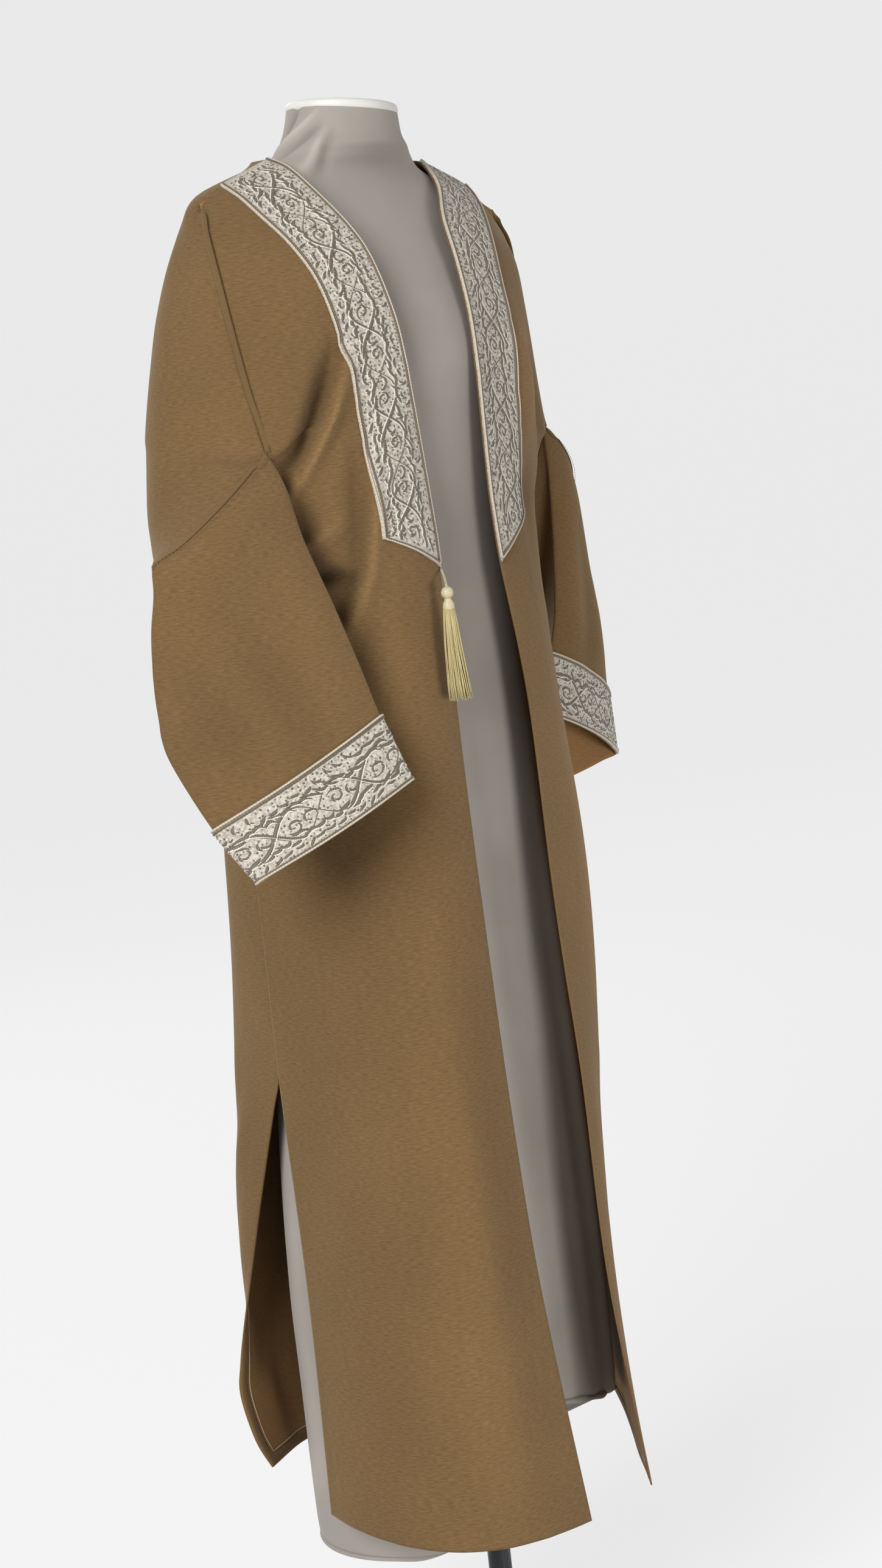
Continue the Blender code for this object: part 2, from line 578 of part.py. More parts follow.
# --- tassel --------------------------------------------------------------------------------
def tassel(band_tip):
    """Stem, bead and head as one turned skin, its underside drawn out into strands."""
    bm = bmesh.new()
    centre = Vector((*TASSEL_AXIS, 0.0))
    z_low, r_low = TASSEL_PROFILE[-1]
    circle = bmesh.ops.create_circle(bm, cap_ends=False, radius=r_low, segments=TASSEL_SIDES)
    bmesh.ops.translate(bm, verts=circle["verts"], vec=centre + Vector((0, 0, z_low)))
    rim = [e for e in bm.edges]
    loop = rim
    for z, radius in reversed(TASSEL_PROFILE[:-1]):
        loop = next_loop(bm, loop, centre + Vector((0, 0, z)), radius)
    stem = band_tip + Vector((-TASSEL_TIP_OFFSET * 0.4, -TASSEL_TIP_OFFSET, -2 * SEAM))
    loop = next_loop(bm, loop, stem, TASSEL_PROFILE[0][1])
    bmesh.ops.contextual_create(bm, geom=loop)
    loop = rim
    quads = []
    for ring in range(1, STRAND_RINGS + 1):
        radius = r_low * (1 - ring / (STRAND_RINGS + 0.6))
        known = set(bm.faces)
        loop = next_loop(bm, loop, centre + Vector((0, 0, z_low)), radius)
        quads += [f for f in bm.faces if f not in known]
    bmesh.ops.contextual_create(bm, geom=loop)
    bmesh.ops.recalc_face_normals(bm, faces=bm.faces)
    bmesh.ops.inset_individual(bm, faces=quads, thickness=STRAND_GAP)
    strands = quads
    for step in range(1, STRAND_STEPS + 1):
        strands = bmesh.ops.extrude_discrete_faces(bm, faces=strands)["faces"]
        f = step / STRAND_STEPS
        spread = 1 + (STRAND_SPREAD - 1) * f ** 0.8
        before = 1 + (STRAND_SPREAD - 1) * ((step - 1) / STRAND_STEPS) ** 0.8
        for number, face in enumerate(strands):
            middle = face.calc_center_median() - centre
            drop = STRAND_LENGTH * (1 + 0.045 * math.sin(number * 2.4)) / STRAND_STEPS
            outward = Vector((middle.x, middle.y, 0)) * (spread / before - 1)
            bmesh.ops.translate(bm, verts=face.verts, vec=outward + Vector((0, 0, -drop)))
    add_object("tassel", bm, "tassel")


def next_loop(bm, loop, centre, radius):
    """Extrude an edge loop and bring the copy to a circle of the radius at the centre."""
    made = bmesh.ops.extrude_edge_only(bm, edges=loop)["geom"]
    verts = [g for g in made if isinstance(g, bmesh.types.BMVert)]
    middle = sum((v.co for v in verts), Vector()) / len(verts)
    for v in verts:
        v.co = centre + (v.co - middle).normalized() * radius
    return [g for g in made if isinstance(g, bmesh.types.BMEdge)]


# --- dress form and stand ------------------------------------------------------------------
def ellipse(z, half_x, half_y, centre_x, centre_y):
    ring = []
    for i in range(FORM_SIDES):
        turn = 2 * math.pi * i / FORM_SIDES
        ring.append(Vector((centre_x + half_x * math.cos(turn), centre_y + half_y * math.sin(turn), z)))
    return ring


def form_body():
    """Neck, torso and long cover as one smooth closed solid with a tilted, rounded rim."""
    rings = [ellipse(*row) for row in FORM_SECTIONS]
    low = FORM_SECTIONS[-1]
    for inset, rise in ((0.0010, 0.016), (0.0060, 0.004), (0.0160, 0.000)):
        rim = ellipse(0.0, low[1] - inset, low[2] - inset, low[3], low[4])
        for p in rim:
            p.z = FORM_HEM_Z + FORM_HEM_TILT_X * p.x + FORM_HEM_TILT_Y * p.y + rise
        rings.append(rim)
    rings.append(ellipse(FORM_FLOOR_Z, FORM_FLOOR_RADIUS, FORM_FLOOR_RADIUS, 0.0, 0.0))
    bm = bmesh.new()
    verts = [[bm.verts.new(p) for p in ring] for ring in rings]
    for upper, lower in zip(verts, verts[1:]):
        for i in range(FORM_SIDES):
            j = (i + 1) % FORM_SIDES
            bm.faces.new((upper[i], upper[j], lower[j], lower[i]))
    bm.faces.new(verts[0])
    bm.faces.new(verts[-1])
    add_object("form_body", bm, "jersey")


def turned(name, profile, kind, sides=28):
    """Solid of revolution about the pole's axis, from a profile of radius and z."""
    mesh = bpy.data.meshes.new(name)
    points = [(r, 0.0, z) for r, z in profile]
    mesh.from_pydata(points, [(i, i + 1) for i in range(len(points) - 1)], [])
    made = bpy.data.objects.new(name, mesh)
    collection.objects.link(made)
    made.data.materials.append(material(kind))
    screw = made.modifiers.new("turn", "SCREW")
    screw.axis = "Z"
    screw.steps = sides
    screw.render_steps = sides
    screw.use_merge_vertices = True
    screw.merge_threshold = 0.0001


def stand():
    cap_low = NECK_TOP + SEAM
    turned("form_cap", (
        (0.0, cap_low + CAP_HEIGHT), (CAP_RADIUS * 0.75, cap_low + CAP_HEIGHT * 0.93),
        (CAP_RADIUS * 0.94, cap_low + CAP_HEIGHT * 0.65), (CAP_RADIUS, cap_low + CAP_HEIGHT * 0.25),
        (CAP_RADIUS * 0.99, cap_low), (0.0, cap_low)), "cap")
    pole_low = BASE_HEIGHT + SEAM
    pole_high = FORM_FLOOR_Z - SEAM
    bpy.ops.mesh.primitive_cylinder_add(
        vertices=24, radius=POLE_RADIUS, depth=pole_high - pole_low,
        location=(0.0, 0.0, (pole_high + pole_low) / 2))
    pole = bpy.context.active_object
    pole.name = "stand_pole"
    pole.data.materials.append(material("metal"))
    pole.data.shade_smooth()
    pole.data.set_sharp_from_angle(angle=math.radians(50))
    for other in list(pole.users_collection):
        other.objects.unlink(pole)
    collection.objects.link(pole)
    turned("stand_base", (
        (0.0, BASE_HEIGHT), (BASE_RADIUS - 0.012, BASE_HEIGHT), (BASE_RADIUS - 0.003, BASE_HEIGHT - 0.003),
        (BASE_RADIUS, BASE_HEIGHT * 0.45), (BASE_RADIUS, 0.0), (0.0, 0.0)), "metal", 36)


# --- the part ------------------------------------------------------------------------------
for thing in list(bpy.data.objects):
    bpy.data.objects.remove(thing)
collection = bpy.data.collections.new("abaya_cloak")
bpy.context.scene.collection.children.link(collection)

right_ring = sleeve_ring(SLEEVE_RIGHT[0])
left_ring = sleeve_ring(SLEEVE_LEFT[0])
front_right = body_piece(front_grid(FRONT_RIGHT_UPPER, FRONT_RIGHT_LOWER, right_ring), FOLDS_RIGHT,
                         (FRONT_COLUMNS,))
front_left = body_piece(front_grid(FRONT_LEFT_UPPER, FRONT_LEFT_LOWER, left_ring), FOLDS_LEFT,
                        (FRONT_COLUMNS,))
back = body_piece(back_grid(right_ring, left_ring), FOLDS_BACK, (0, 2 * BACK_HALF_COLUMNS))
sleeve_right = sleeve_piece(SLEEVE_RIGHT)
sleeve_left = sleeve_piece(SLEEVE_LEFT)
join_seams(front_right, back, sleeve_right, 0)
join_seams(front_left, back, sleeve_left, -1)

piece_wall("front_right", front_right)
piece_wall("front_left", front_left)
piece_wall("back_panel", back, mirror_from=BACK_HALF_COLUMNS)
piece_wall("sleeve_right", sleeve_right, closed=True)
piece_wall("sleeve_left", sleeve_left, closed=True)
cuff_band("right", sleeve_right)
cuff_band("left", sleeve_left)
right_tip = front_band("right", front_right)
front_band("left", front_left)
tassel(right_tip)
form_body()
stand()
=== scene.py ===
"""Abaya cloak on a limbless dress form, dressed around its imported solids."""
import math
import random

import bpy
from mathutils import Matrix, Vector, noise


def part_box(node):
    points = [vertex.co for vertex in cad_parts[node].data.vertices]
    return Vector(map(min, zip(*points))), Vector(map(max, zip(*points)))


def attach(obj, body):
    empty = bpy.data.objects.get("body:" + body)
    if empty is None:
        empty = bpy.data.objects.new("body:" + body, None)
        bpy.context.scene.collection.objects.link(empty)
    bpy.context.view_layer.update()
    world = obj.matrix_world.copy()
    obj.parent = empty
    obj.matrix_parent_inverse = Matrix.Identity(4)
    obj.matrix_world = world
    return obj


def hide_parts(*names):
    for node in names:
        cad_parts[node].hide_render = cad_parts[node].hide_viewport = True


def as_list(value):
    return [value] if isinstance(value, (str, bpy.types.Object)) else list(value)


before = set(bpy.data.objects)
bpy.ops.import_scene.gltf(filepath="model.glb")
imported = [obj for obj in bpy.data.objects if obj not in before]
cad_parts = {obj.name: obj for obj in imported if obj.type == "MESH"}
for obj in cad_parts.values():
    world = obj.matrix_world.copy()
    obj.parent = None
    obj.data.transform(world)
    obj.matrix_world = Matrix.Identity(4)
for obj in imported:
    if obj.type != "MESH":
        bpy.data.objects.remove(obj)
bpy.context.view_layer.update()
bpy.ops.object.select_all(action="DESELECT")

# --- Viewpoint -----------------------------------------------------------------------------
# A standing visitor's eye at the wearer's right front, a little above the waist.
EYE = Vector((-1.933, -2.187, 1.284))
EYE_TURN = math.radians(-42.0)
EYE_TILT = math.radians(6.49)
EYE_ROLL = math.radians(-6.17)

ahead = Vector((-math.sin(EYE_TURN) * math.cos(EYE_TILT), math.cos(EYE_TURN) * math.cos(EYE_TILT),
                -math.sin(EYE_TILT)))
level = Vector((math.cos(EYE_TURN), math.sin(EYE_TURN), 0.0))
upright = level.cross(ahead)
aside = level * math.cos(EYE_ROLL) + upright * math.sin(EYE_ROLL)
above = upright * math.cos(EYE_ROLL) - level * math.sin(EYE_ROLL)
eye_data = bpy.data.cameras.new("eye")
eye_data.sensor_width = 36.0
eye_data.lens = 64.41
eye = bpy.data.objects.new("eye", eye_data)
bpy.context.scene.collection.objects.link(eye)
eye.matrix_world = Matrix.Translation(EYE) @ Matrix((aside, above, -ahead)).transposed().to_4x4()
bpy.context.scene.camera = eye
bpy.context.scene.view_settings.view_transform = "Standard"

# --- Room ----------------------------------------------------------------------------------
# A pale painted floor that curves up into a wall all round, as in a photographer's studio. A
# large soft lamp stands high at the wearer's right, with weak ones low in front and behind.
ROOM_RADIUS = 9.5
ROOM_HEIGHT = 7.5
ROOM_CURVE = 3.0
ROOM_CURVE_STEPS = 10


def colour(hexcode):
    """Linear RGBA of an sRGB hex value."""
    parts = [int(hexcode[i: i + 2], 16) / 255 for i in (1, 3, 5)]
    return (*[p / 12.92 if p <= 0.04045 else ((p + 0.055) / 1.055) ** 2.4 for p in parts], 1.0)


def surface(name, hexcode, roughness, others=None):
    """A material with its node tree and its shader; others are more values of the shader."""
    made = bpy.data.materials.new(name)
    made.use_nodes = True
    shader = made.node_tree.nodes["Principled BSDF"]
    shader.inputs["Base Color"].default_value = colour(hexcode)
    for key, value in {"Roughness": roughness, **(others or {})}.items():
        shader.inputs[key].default_value = value
    return made, made.node_tree, shader


def add(tree, kind, settings=None, **inputs):
    """One node, with its settings, and a value or a link for each named input."""
    made = tree.nodes.new("ShaderNode" + kind)
    for key, value in (settings or {}).items():
        setattr(made, key, value)
    for key, value in inputs.items():
        socket = made.inputs[int(key[1:])] if key[0] == "n" and key[1:].isdigit() else made.inputs[key]
        if isinstance(value, bpy.types.NodeSocket):
            tree.links.new(value, socket)
        else:
            socket.default_value = value
    return made


def lamp(name, place, aim, size, power):
    """A round soft lamp of white light, turned towards what it lights."""
    data = bpy.data.lights.new(name, "AREA")
    data.shape = "DISK"
    data.size = size
    data.energy = power
    made = bpy.data.objects.new(name, data)
    bpy.context.scene.collection.objects.link(made)
    towards = Vector(aim) - Vector(place)
    made.matrix_world = Matrix.Translation(place) @ towards.to_track_quat("-Z", "Y").to_matrix().to_4x4()


bpy.ops.mesh.primitive_circle_add(vertices=96, radius=ROOM_RADIUS - ROOM_CURVE, fill_type="NOTHING")
room = bpy.context.active_object
room.name = "room"
bpy.ops.object.mode_set(mode="EDIT")
bpy.ops.mesh.select_mode(type="EDGE")
bpy.ops.mesh.select_all(action="SELECT")
rim_height, rim_radius = 0.0, ROOM_RADIUS - ROOM_CURVE
for step in range(1, ROOM_CURVE_STEPS + 2):
    radius, height = ROOM_RADIUS, ROOM_HEIGHT
    if step <= ROOM_CURVE_STEPS:
        turn = math.pi / 2 * step / ROOM_CURVE_STEPS
        radius = ROOM_RADIUS - ROOM_CURVE * (1 - math.sin(turn))
        height = ROOM_CURVE * (1 - math.cos(turn))
    bpy.ops.mesh.extrude_edges_move()
    bpy.ops.transform.resize(value=(radius / rim_radius, radius / rim_radius, 1))
    bpy.ops.transform.translate(value=(0, 0, height - rim_height))
    rim_height, rim_radius = height, radius
bpy.ops.mesh.select_all(action="DESELECT")
bpy.ops.object.mode_set(mode="OBJECT")
for edge in room.data.edges:
    edge.select = all(abs(room.data.vertices[i].co.z) < 1e-6 for i in edge.vertices)
bpy.ops.object.mode_set(mode="EDIT")
bpy.ops.mesh.edge_face_add()
bpy.ops.object.mode_set(mode="OBJECT")
bpy.ops.object.shade_smooth()
paint, paint_tree, paint_shader = surface("matt_wall_paint", "#8A8A8A", 0.9)
# The side that the object stands against glows evenly, as if lit from behind; the other is dim.
paint_place = add(paint_tree, "TexCoord").outputs["Object"]
paint_side = add(paint_tree, "VectorMath", {"operation": "DOT_PRODUCT"}, n0=paint_place,
                 n1=(0.67, 0.74, 0.0))
paint_glow = add(paint_tree, "MapRange", Value=paint_side.outputs["Value"],
                 n1=-0.6, n2=0.1, n3=0.06, n4=0.635)
paint_shader.inputs["Emission Color"].default_value = colour("#FFFFFF")
paint_tree.links.new(paint_glow.outputs["Result"], paint_shader.inputs["Emission Strength"])
room.data.materials.append(paint)
world = bpy.data.worlds.new("studio")
bpy.context.scene.world = world
world.use_nodes = True
world.node_tree.nodes["Background"].inputs["Color"].default_value = colour("#F4F5F6")
world.node_tree.nodes["Background"].inputs["Strength"].default_value = 0.48
lamp("key_lamp", (-4.4, -1.6, 3.0), (0.0, 0.0, 1.15), 2.9, 258.0)
lamp("front_lamp", (0.0, -2.7, 0.35), (0.04, 0.0, 0.45), 1.2, 40.0)
lamp("back_lamp", (1.5, 4.2, 3.4), (0.0, 0.0, 1.2), 2.4, 40.0)


# --- Cloth of the cloak --------------------------------------------------------------------
# Camel coloured wool, woven and then felted and brushed, so that only faint streaks along the
# weft show. Its inner side has less nap, and is painted paler than the outer side as painted
# light on the cloth's back.

# Settings of a mix of two tones, and of a tone that is darkened by another
TONES = {"data_type": "RGBA"}
SHADES = {"data_type": "RGBA", "blend_type": "MULTIPLY"}


def dressed(tree, shader, tone, height, strength, distance):
    """Gives a shader its tone, and a relief of the given height field in metres."""
    tree.links.new(tone, shader.inputs["Base Color"])
    bump = add(tree, "Bump", Height=height, Strength=strength, Distance=distance)
    tree.links.new(bump.outputs["Normal"], shader.inputs["Normal"])


def wool(name, base, light, dark, sheen):
    """Felted wool: fine brushed streaks along the weft over a soft uneven ground."""
    made, tree, shader = surface(name, base, 0.93, {
        "Sheen Weight": sheen, "Sheen Roughness": 0.5, "Sheen Tint": colour("#C8B79F"),
        "Specular IOR Level": 0.15})
    cut = add(tree, "UVMap", {"uv_map": "Cut"}).outputs["UV"]
    place = add(tree, "TexCoord").outputs["Object"]
    # Streaks 8 mm long and 1.4 mm high, coarser than the real 0.5 mm so that they show.
    across = add(tree, "SeparateXYZ", Vector=cut).outputs["X"]
    up = add(tree, "SeparateXYZ", Vector=place).outputs["Z"]
    weft = add(tree, "CombineXYZ", X=across, Y=up).outputs["Vector"]
    streak_place = add(tree, "Mapping", Vector=weft, Scale=(130.0, 700.0, 1.0)).outputs["Vector"]
    streaks = add(tree, "TexNoise", Vector=streak_place, Scale=1.0, Detail=3.0, Roughness=0.6)
    fleck_place = add(tree, "Mapping", Vector=weft, Scale=(300.0, 1100.0, 1.0)).outputs["Vector"]
    flecks = add(tree, "TexNoise", Vector=fleck_place, Scale=1.0, Detail=2.0, Roughness=0.6)
    patches = add(tree, "TexNoise", Vector=place, Scale=9.0, Detail=2.0, Roughness=0.5)
    ramp = add(tree, "MapRange", Value=streaks.outputs["Fac"], n1=0.30, n2=0.72)
    toned = add(tree, "Mix", TONES, n0=ramp.outputs["Result"], n6=colour(dark), n7=colour(light)).outputs[2]
    grain = add(tree, "MapRange", Value=flecks.outputs["Fac"], n1=0.35, n2=0.7, n3=0.1, n4=0.6)
    toned = add(tree, "Mix", TONES, n0=grain.outputs["Result"], n6=toned, n7=colour(base)).outputs[2]
    cloud = add(tree, "MapRange", Value=patches.outputs["Fac"], n1=0.3, n2=0.72, n3=0.93, n4=1.05)
    toned = add(tree, "Mix", SHADES, n0=1.0, n6=toned, n7=cloud.outputs["Result"]).outputs[2]
    # Painted shade in the folds and painted highlight on the ridges, by each point's depth; depths are in
    # metres.
    hollow = add(tree, "Attribute", {"attribute_name": "Hollow"}).outputs["Fac"]
    painted_fold_shade = add(tree, "MapRange", Value=hollow, n1=-0.010, n2=0.016, n3=1.20, n4=0.50)
    toned = add(tree, "Mix", SHADES, n0=1.0, n6=toned, n7=painted_fold_shade.outputs["Result"]).outputs[2]
    height = add(tree, "Math", {"operation": "MULTIPLY_ADD"}, n0=streaks.outputs["Fac"], n1=1.2,
                 n2=flecks.outputs["Fac"])
    dressed(tree, shader, toned, height.outputs[0], 0.4, 0.0005)
    return made


felted_wool = wool("felted_wool", "#725939", "#826745", "#60492D", 0.32)
# The inner side is painted paler than the outer side: painted light on the cloth's back.
wool_inside = wool("wool_inside", "#94714A", "#A07C53", "#83623C", 0.10)

# --- Armholes and sleeves ------------------------------------------------------------------
# Wide straight sleeves of the same wool, folded flat along their front and back edges and
# curving down from the shoulder. Each is set into an armhole that runs round under the arm.
SEAM = 0.0003             # gap between pieces that are sewn or rest together
RIDGE_GAP = 0.0010        # extra gap where the armhole crosses the sleeve's front fold
UNDERARM_GAP = 0.0025     # extra gap at the underarm, where three walls meet in a corner
UNDERARM_PULL = 0.3       # how far a sleeve's underside is rounded at its middle
ARM_FRONT_STEPS = 6       # rows along the front half of the armhole
ARM_FACE_STEPS = 6        # rows along the outer face of the armhole
ARM_UNDER_STEPS = 4       # rows along the back half, under the arm
BODY_MIDDLE_Y = 0.02      # the middle of the body, that every panel faces away from
# Rings down a sleeve: front fold x y z, back fold x y z, underarm x y z, and how far the outer
# face bulges between the folds
SLEEVE_RIGHT = (
    (-0.217, -0.080, 1.311, -0.324, -0.036, 1.215, -0.196, 0.020, 1.170, 0.024),
    (-0.212, -0.097, 1.276, -0.335, -0.032, 1.165, -0.238, -0.004, 1.150, 0.024),
    (-0.207, -0.108, 1.226, -0.343, -0.033, 1.115, -0.254, -0.022, 1.100, 0.023),
    (-0.200, -0.131, 1.164, -0.348, -0.041, 1.070, -0.258, -0.045, 1.055, 0.022),
    (-0.190, -0.151, 1.097, -0.350, -0.053, 1.033, -0.262, -0.075, 1.030, 0.020),
    (-0.180, -0.160, 1.051, -0.335, -0.088, 0.966, -0.250, -0.105, 0.990, 0.017),
    (-0.170, -0.185, 0.986, -0.320, -0.129, 0.914, -0.240, -0.140, 0.948, 0.015),
)
SLEEVE_LEFT = (
    (0.217, -0.026, 1.311, 0.288, 0.036, 1.215, 0.196, 0.025, 1.170, 0.020),
    (0.219, -0.026, 1.270, 0.305, 0.040, 1.165, 0.224, 0.026, 1.150, 0.020),
    (0.221, -0.022, 1.215, 0.321, 0.044, 1.115, 0.250, 0.040, 1.104, 0.020),
    (0.223, -0.016, 1.160, 0.342, 0.050, 1.075, 0.270, 0.057, 1.078, 0.019),
    (0.225, -0.008, 1.110, 0.357, 0.060, 1.035, 0.282, 0.068, 1.046, 0.018),
    (0.226, 0.006, 1.067, 0.372, 0.073, 0.999, 0.291, 0.079, 1.006, 0.016),
    (0.215, 0.016, 1.000, 0.375, 0.072, 0.930, 0.292, 0.090, 0.912, 0.015),
)
SLEEVE_STEPS = (2, 2, 2, 2, 2, 2)      # rows between the rings; the last pair is the cuff


def spline(p0, p1, p2, p3, f, pull=0.5):
    """Curve between p1 and p2 for points or table rows; pull 0.5 is Catmull-Rom."""
    g = f * f * (3 - 2 * f)
    leave = f * (1 - f) ** 2 * pull
    arrive = f * f * (f - 1) * pull
    return tuple(
        b + (c - b) * g + (c - a) * leave + (d - b) * arrive
        for a, b, c, d in zip(p0, p1, p2, p3))


def smooth_rows(table, steps, pull=0.5):
    """Rows through a table, with the given number of steps between its lines."""
    last = len(table) - 1
    rows = [tuple(table[0])]
    for i, count in enumerate(steps):
        ends = (table[max(i - 1, 0)], table[i], table[i + 1], table[min(i + 2, last)])
        for step in range(1, count + 1):
            rows.append(spline(*ends, step / count, pull))
    return rows


def bow(start, control, end, f):
    """Point at a share f of a plain curve that leaves and arrives towards its control point."""
    return start * (1 - f) ** 2 + control * 2 * f * (1 - f) + end * f * f


def grid_normals(grid, closed=False):
    """Unit normals of a grid of rows, on the side away from the body's or the ring's middle."""
    rows, columns = len(grid), len(grid[0])
    normals = []
    outward = 0.0
    for r, row in enumerate(grid):
        middle = Vector((0.0, BODY_MIDDLE_Y, row[columns // 2].z))
        if closed:
            middle = sum(row, Vector()) / columns
        line = []
        for c, here in enumerate(row):
            along = grid[min(r + 1, rows - 1)][c] - grid[max(r - 1, 0)][c]
            after = row[(c + 1) % columns if closed else min(c + 1, columns - 1)]
            before = row[c - 1 if closed else max(c - 1, 0)]
            across = (after - here).normalized() + (here - before).normalized()
            normal = along.cross(across).normalized()
            outward += normal.dot((here - middle).normalized())
            line.append(normal)
        normals.append(line)
    if outward < 0:
        normals = [[-n for n in line] for line in normals]
    return normals


def with_normals(grid, closed=False):
    return {"grid": grid, "normals": grid_normals(grid, closed)}


def sleeve_ring(row):
    """Closed ring: outer face from front fold to back fold, then back under the arm."""
    front, back, under = Vector(row[0:3]), Vector(row[3:6]), Vector(row[6:9])
    across = back - front
    out = Vector((across.y, -across.x, 0.0)).normalized()
    if out.y > 0:
        out.negate()
    middle = (front + back) / 2 + out * row[9]
    control = middle * 2 - (front + back) / 2
    ring = [bow(front, control, back, i / ARM_FACE_STEPS) for i in range(ARM_FACE_STEPS)]
    steps = (ARM_UNDER_STEPS, ARM_FRONT_STEPS)
    path = smooth_rows([tuple(back), tuple(under), tuple(front)], steps, UNDERARM_PULL)
    return ring + [Vector(p) for p in path[:-1]]


def armhole_back(ring):
    """Armhole points from its top, over the outer face, to the underarm."""
    return ring[: ARM_FACE_STEPS + ARM_UNDER_STEPS + 1]


def armhole_front(ring):
    """Armhole points from its top, down the front half, to the underarm."""
    return [ring[0]] + ring[: ARM_FACE_STEPS + ARM_UNDER_STEPS - 1: -1]


def sleeve_piece(table):
    """Inner surface of a sleeve, its first ring drawn back a little from the armhole."""
    rings = [sleeve_ring(row) for row in smooth_rows(table, SLEEVE_STEPS)]
    first = []
    under = ARM_FACE_STEPS + ARM_UNDER_STEPS
    for c, (a, b) in enumerate(zip(rings[0], rings[1])):
        span = ARM_UNDER_STEPS if c < under else ARM_FRONT_STEPS
        near_under = max(0.0, 1 - abs(c - under) / span)
        at_top = RIDGE_GAP if c == 0 else 0.0
        first.append(a + (b - a).normalized() * (SEAM + UNDERARM_GAP * near_under + at_top))
    rings[0] = first
    return with_normals(rings, closed=True)

# --- Front panels --------------------------------------------------------------------------
# Two straight fronts of the wool that hang open, with a fold of their own between the front
# edge and the side seam. Each is sewn to the back at the shoulder and down the side.
BAND_WIDTH = 0.070        # embroidered band down each front edge
BAND_COLUMNS = 4          # strips of a front panel under the band
FRONT_COLUMNS = 10        # and in the whole panel
LOWER_STEPS = (1, 1, 3, 4, 4, 5, 5)   # rows between the lower sections, underarm to hem
ROW_SAMPLES = 80          # points at which a row is measured before it is divided
# Sections of a front: front edge x y z, middle x y, side x y z. The upper ones end at the top
# of the armhole, and the lower ones run from the underarm to the hem.
FRONT_RIGHT_UPPER = (
    (-0.103, 0.000, 1.599, -0.1515, 0.000, -0.200, 0.000, 1.562),
    (-0.102, -0.025, 1.587, -0.152, -0.023, -0.206, -0.011, 1.544),
    (-0.098, -0.046, 1.569, -0.152, -0.042, -0.212, -0.022, 1.522),
    (-0.083, -0.082, 1.526, -0.150, -0.071, -0.219, -0.040, 1.482),
    (-0.074, -0.102, 1.490, -0.150, -0.090, -0.223, -0.056, 1.430),
    (-0.070, -0.122, 1.434, -0.150, -0.106, -0.222, -0.070, 1.368),
    (-0.069, -0.130, 1.390, -0.150, -0.114, -0.217, -0.080, 1.311),
)
FRONT_LEFT_UPPER = (
    (0.099, 0.000, 1.596, 0.1495, 0.000, 0.200, 0.000, 1.555),
    (0.088, -0.024, 1.582, 0.146, -0.022, 0.202, -0.006, 1.532),
    (0.078, -0.045, 1.563, 0.144, -0.040, 0.204, -0.011, 1.508),
    (0.053, -0.074, 1.528, 0.142, -0.066, 0.206, -0.014, 1.470),
    (0.042, -0.097, 1.485, 0.138, -0.079, 0.208, -0.016, 1.425),
    (0.036, -0.114, 1.430, 0.135, -0.086, 0.212, -0.021, 1.370),
    (0.030, -0.124, 1.375, 0.133, -0.088, 0.217, -0.026, 1.311),
)
FRONT_RIGHT_LOWER = (
    (-0.062, -0.135, 1.240, -0.152, -0.112, -0.196, 0.020, 1.170),
    (-0.060, -0.135, 1.212, -0.153, -0.112, -0.197, 0.024, 1.145),
    (-0.059, -0.135, 1.181, -0.155, -0.112, -0.198, 0.027, 1.118),
    (-0.060, -0.140, 1.045, -0.160, -0.116, -0.199, 0.032, 0.995),
    (-0.068, -0.155, 0.857, -0.168, -0.128, -0.200, 0.029, 0.845),
    (-0.075, -0.175, 0.653, -0.182, -0.145, -0.205, 0.023, 0.686),
    (-0.078, -0.195, 0.448, -0.196, -0.162, -0.219, -0.002, 0.460),
    (-0.063, -0.215, 0.218, -0.215, -0.178, -0.235, -0.019, 0.242),
)
FRONT_LEFT_LOWER = (
    (0.027, -0.128, 1.245, 0.131, -0.085, 0.196, 0.025, 1.170),
    (0.028, -0.129, 1.212, 0.131, -0.084, 0.197, 0.027, 1.145),
    (0.030, -0.130, 1.178, 0.131, -0.083, 0.198, 0.030, 1.118),
    (0.042, -0.136, 1.045, 0.132, -0.082, 0.198, 0.034, 0.995),
    (0.037, -0.150, 0.855, 0.133, -0.090, 0.197, 0.036, 0.845),
    (0.034, -0.167, 0.660, 0.130, -0.093, 0.198, 0.036, 0.686),
    (0.024, -0.184, 0.445, 0.126, -0.090, 0.204, 0.030, 0.460),
    (0.040, -0.200, 0.217, 0.130, -0.088, 0.210, 0.020, 0.242),
)


def total_length(dense):
    return sum((b - a).length for a, b in zip(dense, dense[1:]))


def at_lengths(dense, lengths):
    """Points of a dense polyline at the given distances from its start."""
    found = []
    travelled = 0.0
    index = 0
    for wanted in lengths:
        while index < len(dense) - 2:
            piece = (dense[index + 1] - dense[index]).length
            if travelled + piece >= wanted:
                break
            travelled += piece
            index += 1
        piece = (dense[index + 1] - dense[index]).length
        found.append(dense[index].lerp(dense[index + 1], min((wanted - travelled) / piece, 1.0)))
    return found


